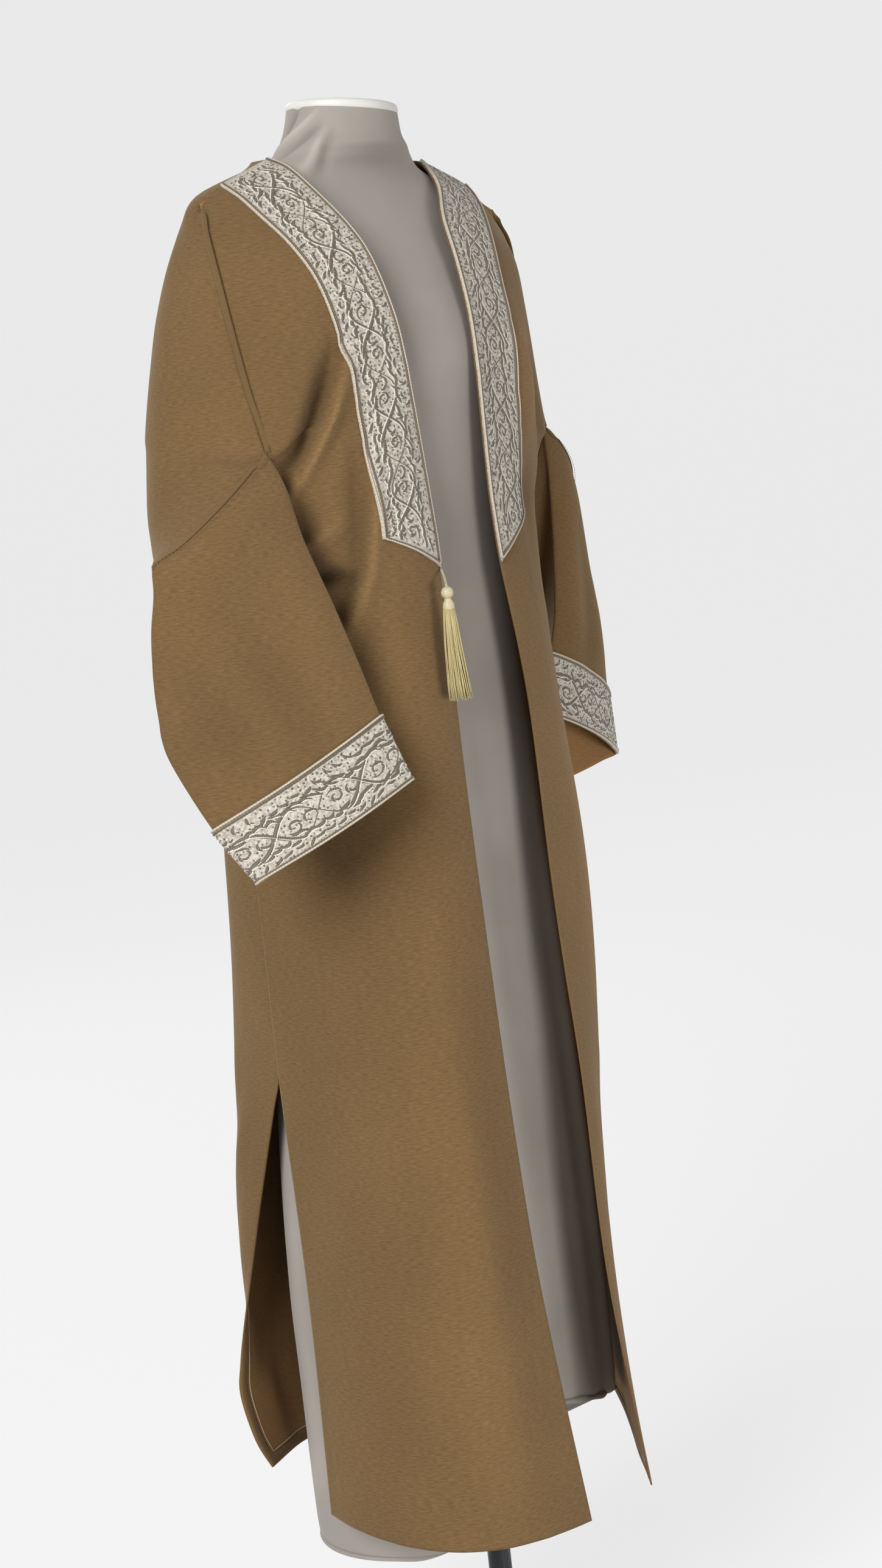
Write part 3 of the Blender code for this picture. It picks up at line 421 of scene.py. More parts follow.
def front_grid(upper, lower, ring):
    """Inner surface of a front panel, rows from the shoulder to the hem."""
    ends = (upper[-2], upper[-1], lower[0], lower[2])
    arm = armhole_front(ring)
    rows = list(upper)
    for i in range(1, ARM_FRONT_STEPS + 1):
        rows.append(spline(*ends, i / ARM_FRONT_STEPS)[:5] + tuple(arm[i]))
    rows += smooth_rows(lower, LOWER_STEPS)[1:]
    rest = FRONT_COLUMNS - BAND_COLUMNS
    grid = []
    for row in rows:
        edge, side = Vector(row[0:3]), Vector(row[5:8])
        middle = Vector((row[3], row[4], (row[2] + row[7]) / 2))
        control = middle * 2 - (edge + side) / 2
        dense = [bow(edge, control, side, i / ROW_SAMPLES) for i in range(ROW_SAMPLES + 1)]
        plain = total_length(dense) - SEAM / 2 - BAND_WIDTH
        lengths = [BAND_WIDTH * c / BAND_COLUMNS for c in range(BAND_COLUMNS + 1)]
        lengths += [BAND_WIDTH + plain * c / rest for c in range(1, rest + 1)]
        grid.append(at_lengths(dense, lengths))
    return grid

# --- Back panel ----------------------------------------------------------------------------
# One wide piece of the wool from shoulder to hem, with a curved neck. Its sides are sewn to the
# fronts down to below the knee, and open as slits from there.
BACK_HALF_COLUMNS = 9     # strips of half the back panel
SHOULDER_COLUMNS = 4      # of those, the strips along the shoulder seam
UPPER_STEPS = 6           # rows from the shoulder seam to the top of the armhole
SLIT_ROW = 13             # lower row at which the side seam ends and the slit begins
CURVE_SAMPLES = 16        # points in each span of a row before it is divided
# Between the side and the middle, a row has two points at these shares of their heights
OUTER_SHARE, INNER_SHARE = 0.3, 0.65
# Edge of each slit, x y z, from the end of the side seam down
BACK_SLIT_RIGHT = (
    (-0.205, 0.023, 0.686), (-0.213, 0.086, 0.500), (-0.240, 0.104, 0.346), (-0.215, 0.097, 0.262))
BACK_SLIT_LEFT = (
    (0.200, 0.036, 0.686), (0.208, 0.086, 0.500), (0.228, 0.102, 0.346), (0.218, 0.100, 0.262))
BACK_SLIT_STEPS = (4, 4, 2)
# Sections: right outer x y, right inner x y, middle y z, left inner x y, left outer x y
BACK_SECTIONS = (
    (-0.200, 0.001, -0.140, 0.030, 0.072, 1.606, 0.140, 0.030, 0.200, 0.001),
    (-0.203, 0.012, -0.146, 0.042, 0.086, 1.594, 0.146, 0.042, 0.201, 0.012),
    (-0.208, 0.022, -0.151, 0.053, 0.098, 1.574, 0.151, 0.053, 0.203, 0.022),
    (-0.219, 0.032, -0.158, 0.073, 0.115, 1.540, 0.158, 0.073, 0.214, 0.032),
    (-0.238, 0.032, -0.165, 0.090, 0.128, 1.490, 0.165, 0.090, 0.228, 0.036),
    (-0.257, 0.024, -0.175, 0.098, 0.136, 1.440, 0.172, 0.100, 0.240, 0.036),
    (-0.276, 0.012, -0.185, 0.103, 0.142, 1.385, 0.176, 0.105, 0.250, 0.036),
    (-0.275, 0.035, -0.188, 0.102, 0.145, 1.270, 0.180, 0.107, 0.246, 0.060),
    (-0.193, 0.065, -0.162, 0.105, 0.145, 1.200, 0.164, 0.107, 0.193, 0.068),
    (-0.193, 0.066, -0.160, 0.105, 0.145, 1.172, 0.163, 0.107, 0.193, 0.069),
    (-0.193, 0.067, -0.158, 0.105, 0.145, 1.144, 0.162, 0.107, 0.193, 0.070),
    (-0.192, 0.070, -0.158, 0.108, 0.147, 1.010, 0.160, 0.110, 0.193, 0.074),
    (-0.193, 0.074, -0.164, 0.115, 0.155, 0.850, 0.166, 0.118, 0.194, 0.078),
    (-0.199, 0.078, -0.174, 0.126, 0.165, 0.672, 0.174, 0.128, 0.199, 0.084),
    (-0.210, 0.116, -0.172, 0.142, 0.176, 0.450, 0.172, 0.144, 0.206, 0.115),
    (-0.178, 0.117, -0.135, 0.138, 0.176, 0.258, 0.145, 0.150, 0.190, 0.124),
)


def share_normals(piece_a, piece_b, pairs):
    """One normal for each pair of points that face each other across a seam."""
    for (row_a, column_a), (row_b, column_b) in pairs:
        a = piece_a["normals"][row_a][column_a]
        b = piece_b["normals"][row_b][column_b]
        shared = (a + b).normalized()
        piece_a["normals"][row_a][column_a] = shared
        piece_b["normals"][row_b][column_b] = shared


def curve_through(points, samples):
    """Dense points of a Catmull-Rom curve that passes through the given points."""
    steps = [samples] * (len(points) - 1)
    return [Vector(p) for p in smooth_rows([tuple(p) for p in points], steps)]


def shoulder_row(right, left):
    """Top edge of the back: shoulder seam, curved back neck, shoulder seam."""
    right_neck, right_corner = Vector(right[0:3]), Vector(right[5:8])
    left_neck, left_corner = Vector(left[0:3]), Vector(left[5:8])
    centre = Vector((0.0, BACK_SECTIONS[0][4], BACK_SECTIONS[0][5]))
    neck_columns = BACK_HALF_COLUMNS - SHOULDER_COLUMNS
    row = [right_corner.lerp(right_neck, c / SHOULDER_COLUMNS) for c in range(SHOULDER_COLUMNS)]
    for start, end, x in ((right_neck, centre, right_neck.x), (centre, left_neck, left_neck.x)):
        control = Vector((x, centre.y, centre.z))
        row += [bow(start, control, end, i / neck_columns) for i in range(neck_columns)]
    row += [left_neck.lerp(left_corner, c / SHOULDER_COLUMNS) for c in range(SHOULDER_COLUMNS + 1)]
    return row


def back_sides(upper, lower, ring, slit):
    """Outer edge of the back on one side, shoulder corner to hem."""
    points = [Vector(row[5:8]) for row in upper]
    points += armhole_back(ring)[1:]
    seam = smooth_rows([row[5:8] for row in lower], LOWER_STEPS)
    points += [Vector(p) for p in seam[1: SLIT_ROW + 1]]
    points += [Vector(p) for p in smooth_rows(slit, BACK_SLIT_STEPS)[1:]]
    return points


def back_grid(ring_right, ring_left):
    """Inner surface of the back, rows from the shoulder to the hem."""
    sides = zip(back_sides(FRONT_RIGHT_UPPER, FRONT_RIGHT_LOWER, ring_right, BACK_SLIT_RIGHT),
                back_sides(FRONT_LEFT_UPPER, FRONT_LEFT_LOWER, ring_left, BACK_SLIT_LEFT))
    steps = [1] * UPPER_STEPS + [ARM_FACE_STEPS, ARM_UNDER_STEPS] + list(LOWER_STEPS)
    grid = [shoulder_row(FRONT_RIGHT_UPPER[0], FRONT_LEFT_UPPER[0])]
    for (right, left), row in list(zip(sides, smooth_rows(BACK_SECTIONS, steps)))[1:]:
        centre = Vector((0.0, row[4], row[5]))
        between = [
            Vector((row[i], row[i + 1], side.z + (centre.z - side.z) * share))
            for i, share, side in ((0, OUTER_SHARE, right), (2, INNER_SHARE, right),
                                   (6, INNER_SHARE, left), (8, OUTER_SHARE, left))]
        dense = curve_through([right, *between[:2], centre, *between[2:], left], CURVE_SAMPLES)
        half = len(dense) // 2
        points = []
        for run in (dense[: half + 1], dense[half:]):
            whole = total_length(run)
            lengths = [whole * c / BACK_HALF_COLUMNS for c in range(BACK_HALF_COLUMNS + 1)]
            points += at_lengths(run, lengths)[1 if points else 0:]
        grid.append(points)
    for row in grid:
        row[0] = row[0] + (row[1] - row[0]).normalized() * SEAM / 2
        row[-1] = row[-1] + (row[-2] - row[-1]).normalized() * SEAM / 2
    for p in grid[0]:
        p.y += SEAM
    return grid


def join_seams(front, back, sleeve, back_column):
    """Shared normals along the shoulder ridge, the armhole and the side seam."""
    arm_back = ARM_FACE_STEPS + ARM_UNDER_STEPS
    seam_front, seam_back = UPPER_STEPS + ARM_FRONT_STEPS, UPPER_STEPS + arm_back
    count = len(sleeve["grid"][0])
    for row_front, row_back, ring_point in ((UPPER_STEPS, UPPER_STEPS, 0),
                                            (seam_front, seam_back, arm_back)):
        lines = (front["normals"][row_front], back["normals"][row_back], sleeve["normals"][0])
        places = (-1, back_column, ring_point)
        body = (lines[0][-1] + lines[1][back_column]).normalized()
        shared = (body + lines[2][ring_point]).normalized()
        for line, place in zip(lines, places):
            line[place] = shared
    share_normals(front, back, [((r, -1), (r, back_column)) for r in range(1, UPPER_STEPS)])
    share_normals(front, back, [((seam_front + r, -1), (seam_back + r, back_column))
                                for r in range(1, SLIT_ROW + 1)])
    share_normals(back, sleeve, [((UPPER_STEPS + i, back_column), (0, i)) for i in range(1, arm_back)])
    share_normals(front, sleeve, [((UPPER_STEPS + i, -1), (0, (count - i) % count))
                                  for i in range(1, ARM_FRONT_STEPS)])
    top = front["grid"][0][0] - front["grid"][0][-1]
    lift = Vector((-top.z, 0.0, top.x)).normalized()
    if lift.z < 0:
        lift.negate()
    front["normals"][0] = [lift] * len(front["normals"][0])
    for c in range(SHOULDER_COLUMNS + 1):
        back["normals"][0][back_column + c if back_column == 0 else back_column - c] = lift


# --- Cloth pieces, sewn together -----------------------------------------------------------
# Two fronts, one back and two wide sleeves, joined at the shoulders, armholes and sides; the
# sides stay open below the knee. Each piece lies on the outer face of its solid.
CLOTH = 0.0020            # thickness of the cloth's solids, on whose outer faces the pieces lie
SHELL_WALL = 0.0017       # and of the pieces' own wall
ROW_PARTS = 6             # fine rows in each row of a piece's coarse grid
BAND_PARTS = 4            # fine strips in each strip under the band
PLAIN_PARTS = 10          # in each other strip of a front and in each of a sleeve
BACK_PARTS = 6            # and in each of the back
SEWN_MARGIN = 0.030       # folds die out this near a seam
CUFF_MARGIN = 0.080       # and lose three quarters of their depth towards the stiff cuff
# Folds: half width, depth (a ridge where negative), then x and z of the points along the fold
FOLDS_RIGHT = (
    (0.0090, 0.0180, -0.206, 1.285, -0.190, 1.294, -0.172, 1.338, -0.155, 1.375, -0.138, 1.405),
    (0.0085, -0.0110, -0.194, 1.255, -0.169, 1.316, -0.146, 1.362, -0.128, 1.395),
    (0.0080, -0.0070, -0.182, 1.215, -0.170, 1.222, -0.158, 1.235),
    (0.0080, 0.0160, -0.184, 1.190, -0.168, 1.186, -0.158, 1.182),
    (0.0100, 0.0110, -0.175, 1.135, -0.160, 1.160, -0.149, 1.190, -0.142, 1.240, -0.137, 1.300),
    (0.0085, -0.0100, -0.172, 1.115, -0.156, 1.145, -0.141, 1.183, -0.130, 1.245, -0.125, 1.290),
    (0.0200, 0.0040, -0.185, 1.040, -0.160, 1.110, -0.140, 1.160),
    (0.0300, 0.0030, -0.190, 0.700, -0.150, 1.000),
    (0.0300, 0.0030, -0.110, 0.240, -0.100, 0.800),
    (0.0350, -0.0040, -0.170, 0.240, -0.150, 0.700),
)
FOLDS_LEFT = (
    (0.0160, 0.0090, 0.195, 1.290, 0.150, 1.385),
    (0.0300, -0.0110, 0.115, 1.420, 0.118, 1.350, 0.112, 1.310),
    (0.0260, 0.0080, 0.112, 1.275, 0.108, 1.235, 0.104, 1.210),
    (0.0180, 0.0060, 0.180, 1.060, 0.160, 1.240),
    (0.0450, -0.0100, 0.135, 0.660, 0.133, 0.900, 0.133, 1.100),
    (0.0260, 0.0040, 0.085, 0.240, 0.095, 0.700),
    (0.0280, -0.0030, 0.050, 0.240, 0.060, 0.700),
    (0.0260, -0.0040, 0.160, 0.260, 0.165, 0.700),
)
FOLDS_BACK = (
    (0.0220, 0.0100, -0.210, 1.250, -0.090, 1.420),
    (0.0220, 0.0100, 0.210, 1.250, 0.090, 1.420),
    (0.0300, 0.0060, -0.110, 0.280, -0.090, 1.150),
    (0.0300, 0.0060, 0.110, 0.280, 0.090, 1.150),
    (0.0360, -0.0050, 0.000, 0.280, 0.000, 1.050),
    (0.0260, -0.0030, -0.060, 0.280, -0.050, 0.900),
    (0.0260, -0.0030, 0.060, 0.280, 0.050, 0.900),
)
FOLDS_SLEEVE_RIGHT = (
    (0.0220, 0.0040, -0.300, 1.180, -0.245, 1.030),
    (0.0200, 0.0040, -0.330, 1.120, -0.300, 1.000),
    (0.0240, -0.0030, -0.230, 1.220, -0.215, 1.060),
)
FOLDS_SLEEVE_LEFT = (
    (0.0180, 0.0040, 0.262, 1.200, 0.300, 1.010),
    (0.0160, -0.0030, 0.240, 1.240, 0.258, 1.080),
)
# Corners of the seams that the cloth rounds off: x, y, z, reach, and how far it moves there
ROUNDED = (
    (-0.202, 0.002, 1.560, 0.026, 0.0030, 0.0000, -0.0060),
    (0.202, 0.002, 1.553, 0.030, -0.0060, 0.0000, -0.0110),
    (-0.324, -0.036, 1.215, 0.020, -0.0050, 0.0020, 0.0000),
)


def rounded(grid):
    """The grid with the cloth eased over the corners of its seams."""
    made = [[p.copy() for p in row] for row in grid]
    for x, y, z, reach, *shift in ROUNDED:
        for row in made:
            for p in row:
                away = (p - Vector((x, y, z))).length / reach
                if away < 3:
                    p += Vector(shift) * math.exp(-away * away)
    return made


def moved_out(grid, normals, distance):
    return [[p + n * distance for p, n in zip(row, line)] for row, line in zip(grid, normals)]


def fine_line(points, parts, closed=False):
    """Catmull-Rom curve through points; parts is the number of steps in each span."""
    last = len(points) - 1
    spans = last + 1 if closed else last
    found = [] if closed else [points[0].copy()]
    for i in range(spans):
        if closed:
            ends = [points[(i + j) % (last + 1)] for j in (-1, 0, 1, 2)]
            found += [Vector(spline(*ends, step / parts[i])) for step in range(parts[i])]
        else:
            ends = (points[max(i - 1, 0)], points[i], points[i + 1], points[min(i + 2, last)])
            found += [Vector(spline(*ends, step / parts[i])) for step in range(1, parts[i] + 1)]
    return found


def fine_grid(grid, column_parts, row_parts=ROW_PARTS, closed=False):
    """A coarse grid divided finely, along smooth curves both ways."""
    rows = [fine_line(row, column_parts, closed) for row in grid]
    columns = [fine_line(list(column), [row_parts] * (len(grid) - 1)) for column in zip(*rows)]
    return [list(row) for row in zip(*columns)]


def distances(grid, closed=False):
    """For each point, its distance along its row and down its column, in metres."""
    across = []
    for row in grid:
        line = [0.0]
        for a, b in zip(row, row[1:]):
            line.append(line[-1] + (b - a).length)
        if closed:
            line.append(line[-1] + (row[0] - row[-1]).length)
        across.append(line)
    down = [[0.0] * len(grid[0])]
    for above_row, row in zip(grid, grid[1:]):
        down.append([d + (b - a).length for d, a, b in zip(down[-1], above_row, row)])
    return across, down


def eased(x):
    """Rises smoothly from 0 to 1 while x does."""
    x = max(0.0, min(1.0, x))
    return x * x * (3 - 2 * x)


def nearest(line, x, z):
    """How far along a line in x and z its nearest point lies, as a share, and how far away."""
    best, run = (0.0, 9.0), 0.0
    spots = list(zip(line[::2], line[1::2]))
    for (x0, z0), (x1, z1) in zip(spots, spots[1:]):
        size = math.hypot(x1 - x0, z1 - z0)
        f = ((x - x0) * (x1 - x0) + (z - z0) * (z1 - z0)) / size ** 2
        f = max(0.0, min(1.0, f))
        away = math.hypot(x - x0 - (x1 - x0) * f, z - z0 - (z1 - z0) * f)
        if away < best[1]:
            best = (run + f * size, away)
        run += size
    return best[0] / run, best[1]


def creased(grid, normals, folds, hold, wave):
    """The grid with its folds; hold says how far a point is free to move.

    A fold is its half width, its depth, which is negative for a ridge, and then the x and z
    of the points it runs through.
    """
    made, hollows = [], []
    for r, (row, line) in enumerate(zip(grid, normals)):
        points = []
        for c, (p, n) in enumerate(zip(row, line)):
            depth = wave * noise.noise(Vector((p.x * 9.0, p.y * 9.0, p.z * 4.0)))
            for width, deep, *spots in folds:
                f, away = nearest(spots, p.x, p.z)
                if away < 3 * width:
                    depth += deep * math.sin(math.pi * (0.12 + 0.76 * f)) * math.exp(-(away / width) ** 2)
            depth *= hold(r, c)
            points.append(p - n * depth)
            hollows.append(depth)
        made.append(points)
    return made, hollows


def new_piece(name, store, finishes):
    """A finished mesh object that rides with the cloak, from its points, faces and UVs."""
    points, faces, places = store
    mesh = bpy.data.meshes.new(name)
    mesh.from_pydata(points, [], faces)
    layer = mesh.uv_layers.new(name="Cut")
    for spot, place in zip(layer.data, places):
        spot.uv = place
    for finish in finishes:
        mesh.materials.append(finish)
    mesh.shade_smooth()
    made = bpy.data.objects.new(name, mesh)
    bpy.context.scene.collection.objects.link(made)
    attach(made, "root")
    return made


def grid_mesh(name, skin, finishes, closed=False):
    """Single skin of a piece, its faces outwards, with its cut in metres as UVs."""
    grid, normals = skin["grid"], skin["normals"]
    across, down = distances(grid, closed)
    columns = len(grid[0])
    points = [p for row in grid for p in row]
    faces, places = [], []
    spans = columns if closed else columns - 1
    a, b, d = grid[1][1], grid[1][2], grid[2][1]
    flip = (b - a).cross(d - a).dot(normals[1][1]) < 0
    for r in range(len(grid) - 1):
        for c in range(spans):
            e = (c + 1) % columns
            ring = [(r, c), (r, e), (r + 1, e), (r + 1, c)]
            cut = [(across[r][c], -down[r][c]), (across[r][c + 1], -down[r][e]),
                   (across[r + 1][c + 1], -down[r + 1][e]), (across[r + 1][c], -down[r + 1][c])]
            if flip:
                ring.reverse()
                cut.reverse()
            faces.append([i * columns + j for i, j in ring])
            places += cut
    made = new_piece(name, (points, faces, places), finishes)
    if "hollows" in skin:
        made.data.attributes.new("Hollow", "FLOAT", "POINT").data.foreach_set("value", skin["hollows"])
    return made


def select_only(made):
    bpy.ops.object.select_all(action="DESELECT")
    bpy.context.view_layer.objects.active = made
    made.select_set(True)


def apply_modifiers(made):
    select_only(made)
    for modifier in list(made.modifiers):
        bpy.ops.object.modifier_apply(modifier=modifier.name)
    made.select_set(False)


def walled(made, thickness, inner_finish=0):
    """Gives a skin its wall, behind it; the inner side takes that one of its finishes."""
    wall = made.modifiers.new("wall", "SOLIDIFY")
    wall.thickness = thickness
    wall.offset = -1
    wall.material_offset = inner_finish
    apply_modifiers(made)
    return made


def cloth_shell(name, skin, closed=False):
    """Cloth wall of one piece; its inner side takes the cloth's back, with less nap and painted paler as
    painted light.
    """
    made = grid_mesh(name + "_cloth", skin, (felted_wool, wool_inside), closed)
    walled(made, SHELL_WALL, 1)
    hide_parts(name)
    return made


def folded(piece, column_parts, folds, wave, sewn_left=False, closed=False):
    """Fine outer skin of a panel or sleeve with its folds, which die out at its seams."""
    outer = moved_out(piece["grid"], piece["normals"], CLOTH)
    grid = fine_grid(outer, column_parts, closed=closed)
    across, down = distances(grid, closed)

    def hold(r, c):
        free = eased(down[r][c] / SEWN_MARGIN)
        if closed:
            return free * (0.25 + 0.75 * eased((down[-1][c] - down[r][c]) / CUFF_MARGIN))
        if sewn_left:
            free *= eased(across[r][c] / SEWN_MARGIN)
        return free * eased((across[r][-1] - across[r][c]) / SEWN_MARGIN)
    grid, hollows = creased(grid, grid_normals(grid, closed), folds, hold, wave)
    return {**with_normals(rounded(grid), closed), "hollows": hollows}


right_ring, left_ring = sleeve_ring(SLEEVE_RIGHT[0]), sleeve_ring(SLEEVE_LEFT[0])
coarse_right = with_normals(front_grid(FRONT_RIGHT_UPPER, FRONT_RIGHT_LOWER, right_ring))
coarse_left = with_normals(front_grid(FRONT_LEFT_UPPER, FRONT_LEFT_LOWER, left_ring))
coarse_back = with_normals(back_grid(right_ring, left_ring))
coarse_sleeve_right, coarse_sleeve_left = sleeve_piece(SLEEVE_RIGHT), sleeve_piece(SLEEVE_LEFT)
join_seams(coarse_right, coarse_back, coarse_sleeve_right, 0)
join_seams(coarse_left, coarse_back, coarse_sleeve_left, -1)

front_parts = [BAND_PARTS] * BAND_COLUMNS + [PLAIN_PARTS] * (FRONT_COLUMNS - BAND_COLUMNS)
back_parts = [BACK_PARTS] * (2 * BACK_HALF_COLUMNS)
sleeve_parts = [PLAIN_PARTS] * len(right_ring)
skin_right = folded(coarse_right, front_parts, FOLDS_RIGHT, 0.0016)
skin_left = folded(coarse_left, front_parts, FOLDS_LEFT, 0.0016)
skin_back = folded(coarse_back, back_parts, FOLDS_BACK, 0.0025, sewn_left=True)
skin_sleeve_right = folded(coarse_sleeve_right, sleeve_parts, FOLDS_SLEEVE_RIGHT, 0.0015, closed=True)
skin_sleeve_left = folded(coarse_sleeve_left, sleeve_parts, FOLDS_SLEEVE_LEFT, 0.0015, closed=True)
front_right = cloth_shell("front_right", skin_right)
front_left = cloth_shell("front_left", skin_left)
back_panel = cloth_shell("back_panel", skin_back)
sleeve_right = cloth_shell("sleeve_right", skin_sleeve_right, closed=True)
sleeve_left = cloth_shell("sleeve_left", skin_sleeve_left, closed=True)


# --- Embroidered bands ---------------------------------------------------------------------
# Stiffened cotton satin, 70 mm wide, sewn flat on the front edges and round the cuffs. A vine
# scroll is couched on it in grey silk with satin stitch, and two fine cords edge it.
BAND_LIFT = 0.0002        # between the cloth and the band's underside
BAND_THICK = 0.0017
BAND_FACE = BAND_LIFT + BAND_THICK
BAND_TIP_ROW = 2          # lower row of the front at which the band's long edge ends
BAND_SLANT_ROWS = 2       # rows between the band's short and long edges at its slanted end
CUFF_STEPS = 2            # rows of the sleeve under the cuff band
CORD_RADIUS = 0.00115     # of the two cords that edge a band
CORD_INSET = 0.0013       # first edging cord's middle from the band's edge
CORD_STEP = 0.0027        # and from there to the second one
SCROLL_REPEAT = 0.080     # length of one wave of the vine
SCROLL_SWING = 0.0150     # how far its stems swing from the band's middle
SEED_GAP = 0.0046         # grid of the small stitches that fill the ground
SEED_CLEAR = 0.0017       # nearest that they come to a stroke
SEED_CELL = 0.004         # side of the cells in which near strokes are looked up
STEM_POINTS = 30          # points of a stem in one wave
CURL_POINTS = 22
LEAF_POINTS = 9
# The pale edge of each stroke is partly a real pale outline and partly a painted highlight on one side of
# the raised stitch.
HIGHLIGHT_SHIFT = (-0.0010, 0.0022)    # along and across, from a dark stroke to its pale edge
THREAD_HEIGHT = 0.0006    # how far the raised stitches stand over the satin
PLAIN_EDGE = 0.0060       # left plain inside the band's edges


def swept(store, path, widths, heights=None, sides=6, closed=False):
    """Adds a solid strand along a path of points and normals; its section is an ellipse."""
    points, faces, places = store
    heights = heights or widths
    start = len(points)
    count = len(path)
    run = 0.0
    runs = []
    for i, (p, n) in enumerate(path):
        before = path[i - 1][0] if (i or closed) else p
        after = path[(i + 1) % count][0] if (i < count - 1 or closed) else p
        side = (after - before).cross(n).normalized()
        if i:
            run += (p - before).length
        runs.append(run)
        for j in range(sides):
            turn = 2 * math.pi * (j + 0.5) / sides
            points.append(p + side * (widths[i] * math.cos(turn)) + n * (heights[i] * math.sin(turn)))
    spans = count if closed else count - 1
    for i in range(spans):
        k = (i + 1) % count
        far = run if k == 0 else runs[k]
        for j in range(sides):
            m = (j + 1) % sides
            faces.append([start + i * sides + j, start + i * sides + m,
                          start + k * sides + m, start + k * sides + j])
            places += [(j / sides, runs[i]), ((j + 1) / sides, runs[i]),
                       ((j + 1) / sides, far), (j / sides, far)]
    if not closed:
        for i, order in ((0, -1), (count - 1, 1)):
            faces.append([start + i * sides + j for j in range(sides)][::order])
            places += [(0.5, runs[i])] * sides


def new_store():
    return [], [], []


def point_on(skin, row, column, lift, closed=False):
    """Point over a skin at a fractional row and column, and the normal there."""
    grid, normals = skin["grid"], skin["normals"]
    columns = len(grid[0])
    r = min(max(int(row), 0), len(grid) - 2)
    c = int(math.floor(column)) if closed else min(max(int(column), 0), columns - 2)
    fr, fc = min(max(row - r, 0.0), 1.0), column - c
    if not closed:
        fc = min(max(fc, 0.0), 1.0)
    a, b = c % columns, (c + 1) % columns
    p = grid[r][a].lerp(grid[r][b], fc).lerp(grid[r + 1][a].lerp(grid[r + 1][b], fc), fr)
    n = normals[r][a].lerp(normals[r][b], fc).lerp(normals[r + 1][a].lerp(normals[r + 1][b], fc), fr)
    n.normalize()
    return p + n * lift, n


def band_slab(name, skin, closed=False):
    """The band's own cloth: a closed slab that lies just over the panel."""
    upper = moved_out(skin["grid"], skin["normals"], BAND_FACE)
    made = grid_mesh(name, {"grid": upper, "normals": skin["normals"]}, (band_satin,), closed)
    return walled(made, BAND_THICK)


def front_band_skin(skin):
    """Part of a front's skin under the band, its rows slanting to the band's pointed end."""
    tip = UPPER_STEPS + ARM_FRONT_STEPS + BAND_TIP_ROW
    start = tip - BAND_SLANT_ROWS - 1
    columns = BAND_COLUMNS * BAND_PARTS
    band = {key: [row[: columns + 1] for row in skin[key][: start * ROW_PARTS + 1]]
            for key in ("grid", "normals")}
    steps = (BAND_SLANT_ROWS + 1) * ROW_PARTS
    for step in range(1, steps + 1):
        line = []
        for c in range(columns + 1):
            end = tip - BAND_SLANT_ROWS * c / columns
            row = (start + (end - start) * step / steps) * ROW_PARTS
            line.append(point_on(skin, row, c, 0.0))
        band["grid"].append([p for p, n in line])
        band["normals"].append([n for p, n in line])
    return band


def rows_at(skin, closed=False):
    """Distance of each row of a skin from its first row, down its middle column."""
    down = distances(skin["grid"], closed)[1]
    middle = 0 if closed else len(skin["grid"][0]) // 2
    return [line[middle] for line in down]


def nib(points, thin, thick, slant):
    """Half widths of a stroke whose thickness turns with its direction, with fine ends."""
    count = len(points)
    found = []
    for i in range(count):
        a, b = points[max(i - 1, 0)], points[min(i + 1, count - 1)]
        turn = math.atan2(b[1] - a[1], b[0] - a[0])
        ends = math.sin(math.pi * (0.06 + 0.88 * i / (count - 1))) ** 0.6
        found.append((thin + (thick - thin) * abs(math.sin(turn - slant)) ** 1.5) * ends)
    return found


def leaf(start, turn, size, bend, plump, sway=0.0):
    """Curved pointed leaf from a point, as a stroke that swells at its middle."""
    points = []
    last = LEAF_POINTS - 1
    for i in range(LEAF_POINTS):
        f = i / last
        angle = turn + bend * f + sway * math.sin(2 * math.pi * f)
        step = size / last
        points.append(start if i == 0 else (points[-1][0] + math.cos(angle) * step,
                                            points[-1][1] + math.sin(angle) * step))
    widths = [0.00028 + plump * math.sin(math.pi * min(1.0, 0.05 + 0.95 * i / last)) ** 1.4
              for i in range(LEAF_POINTS)]
    return points, widths


def curl(centre, start_turn, radius, turns, inner):
    """Points of a spiral from a radius in to its inner one."""
    points = []
    for i in range(CURL_POINTS):
        f = i / (CURL_POINTS - 1)
        size = radius + (inner - radius) * f ** 0.8
        angle = start_turn + turns * 2 * math.pi * f
        points.append((centre[0] + math.cos(angle) * size, centre[1] + math.sin(angle) * size))
    return points


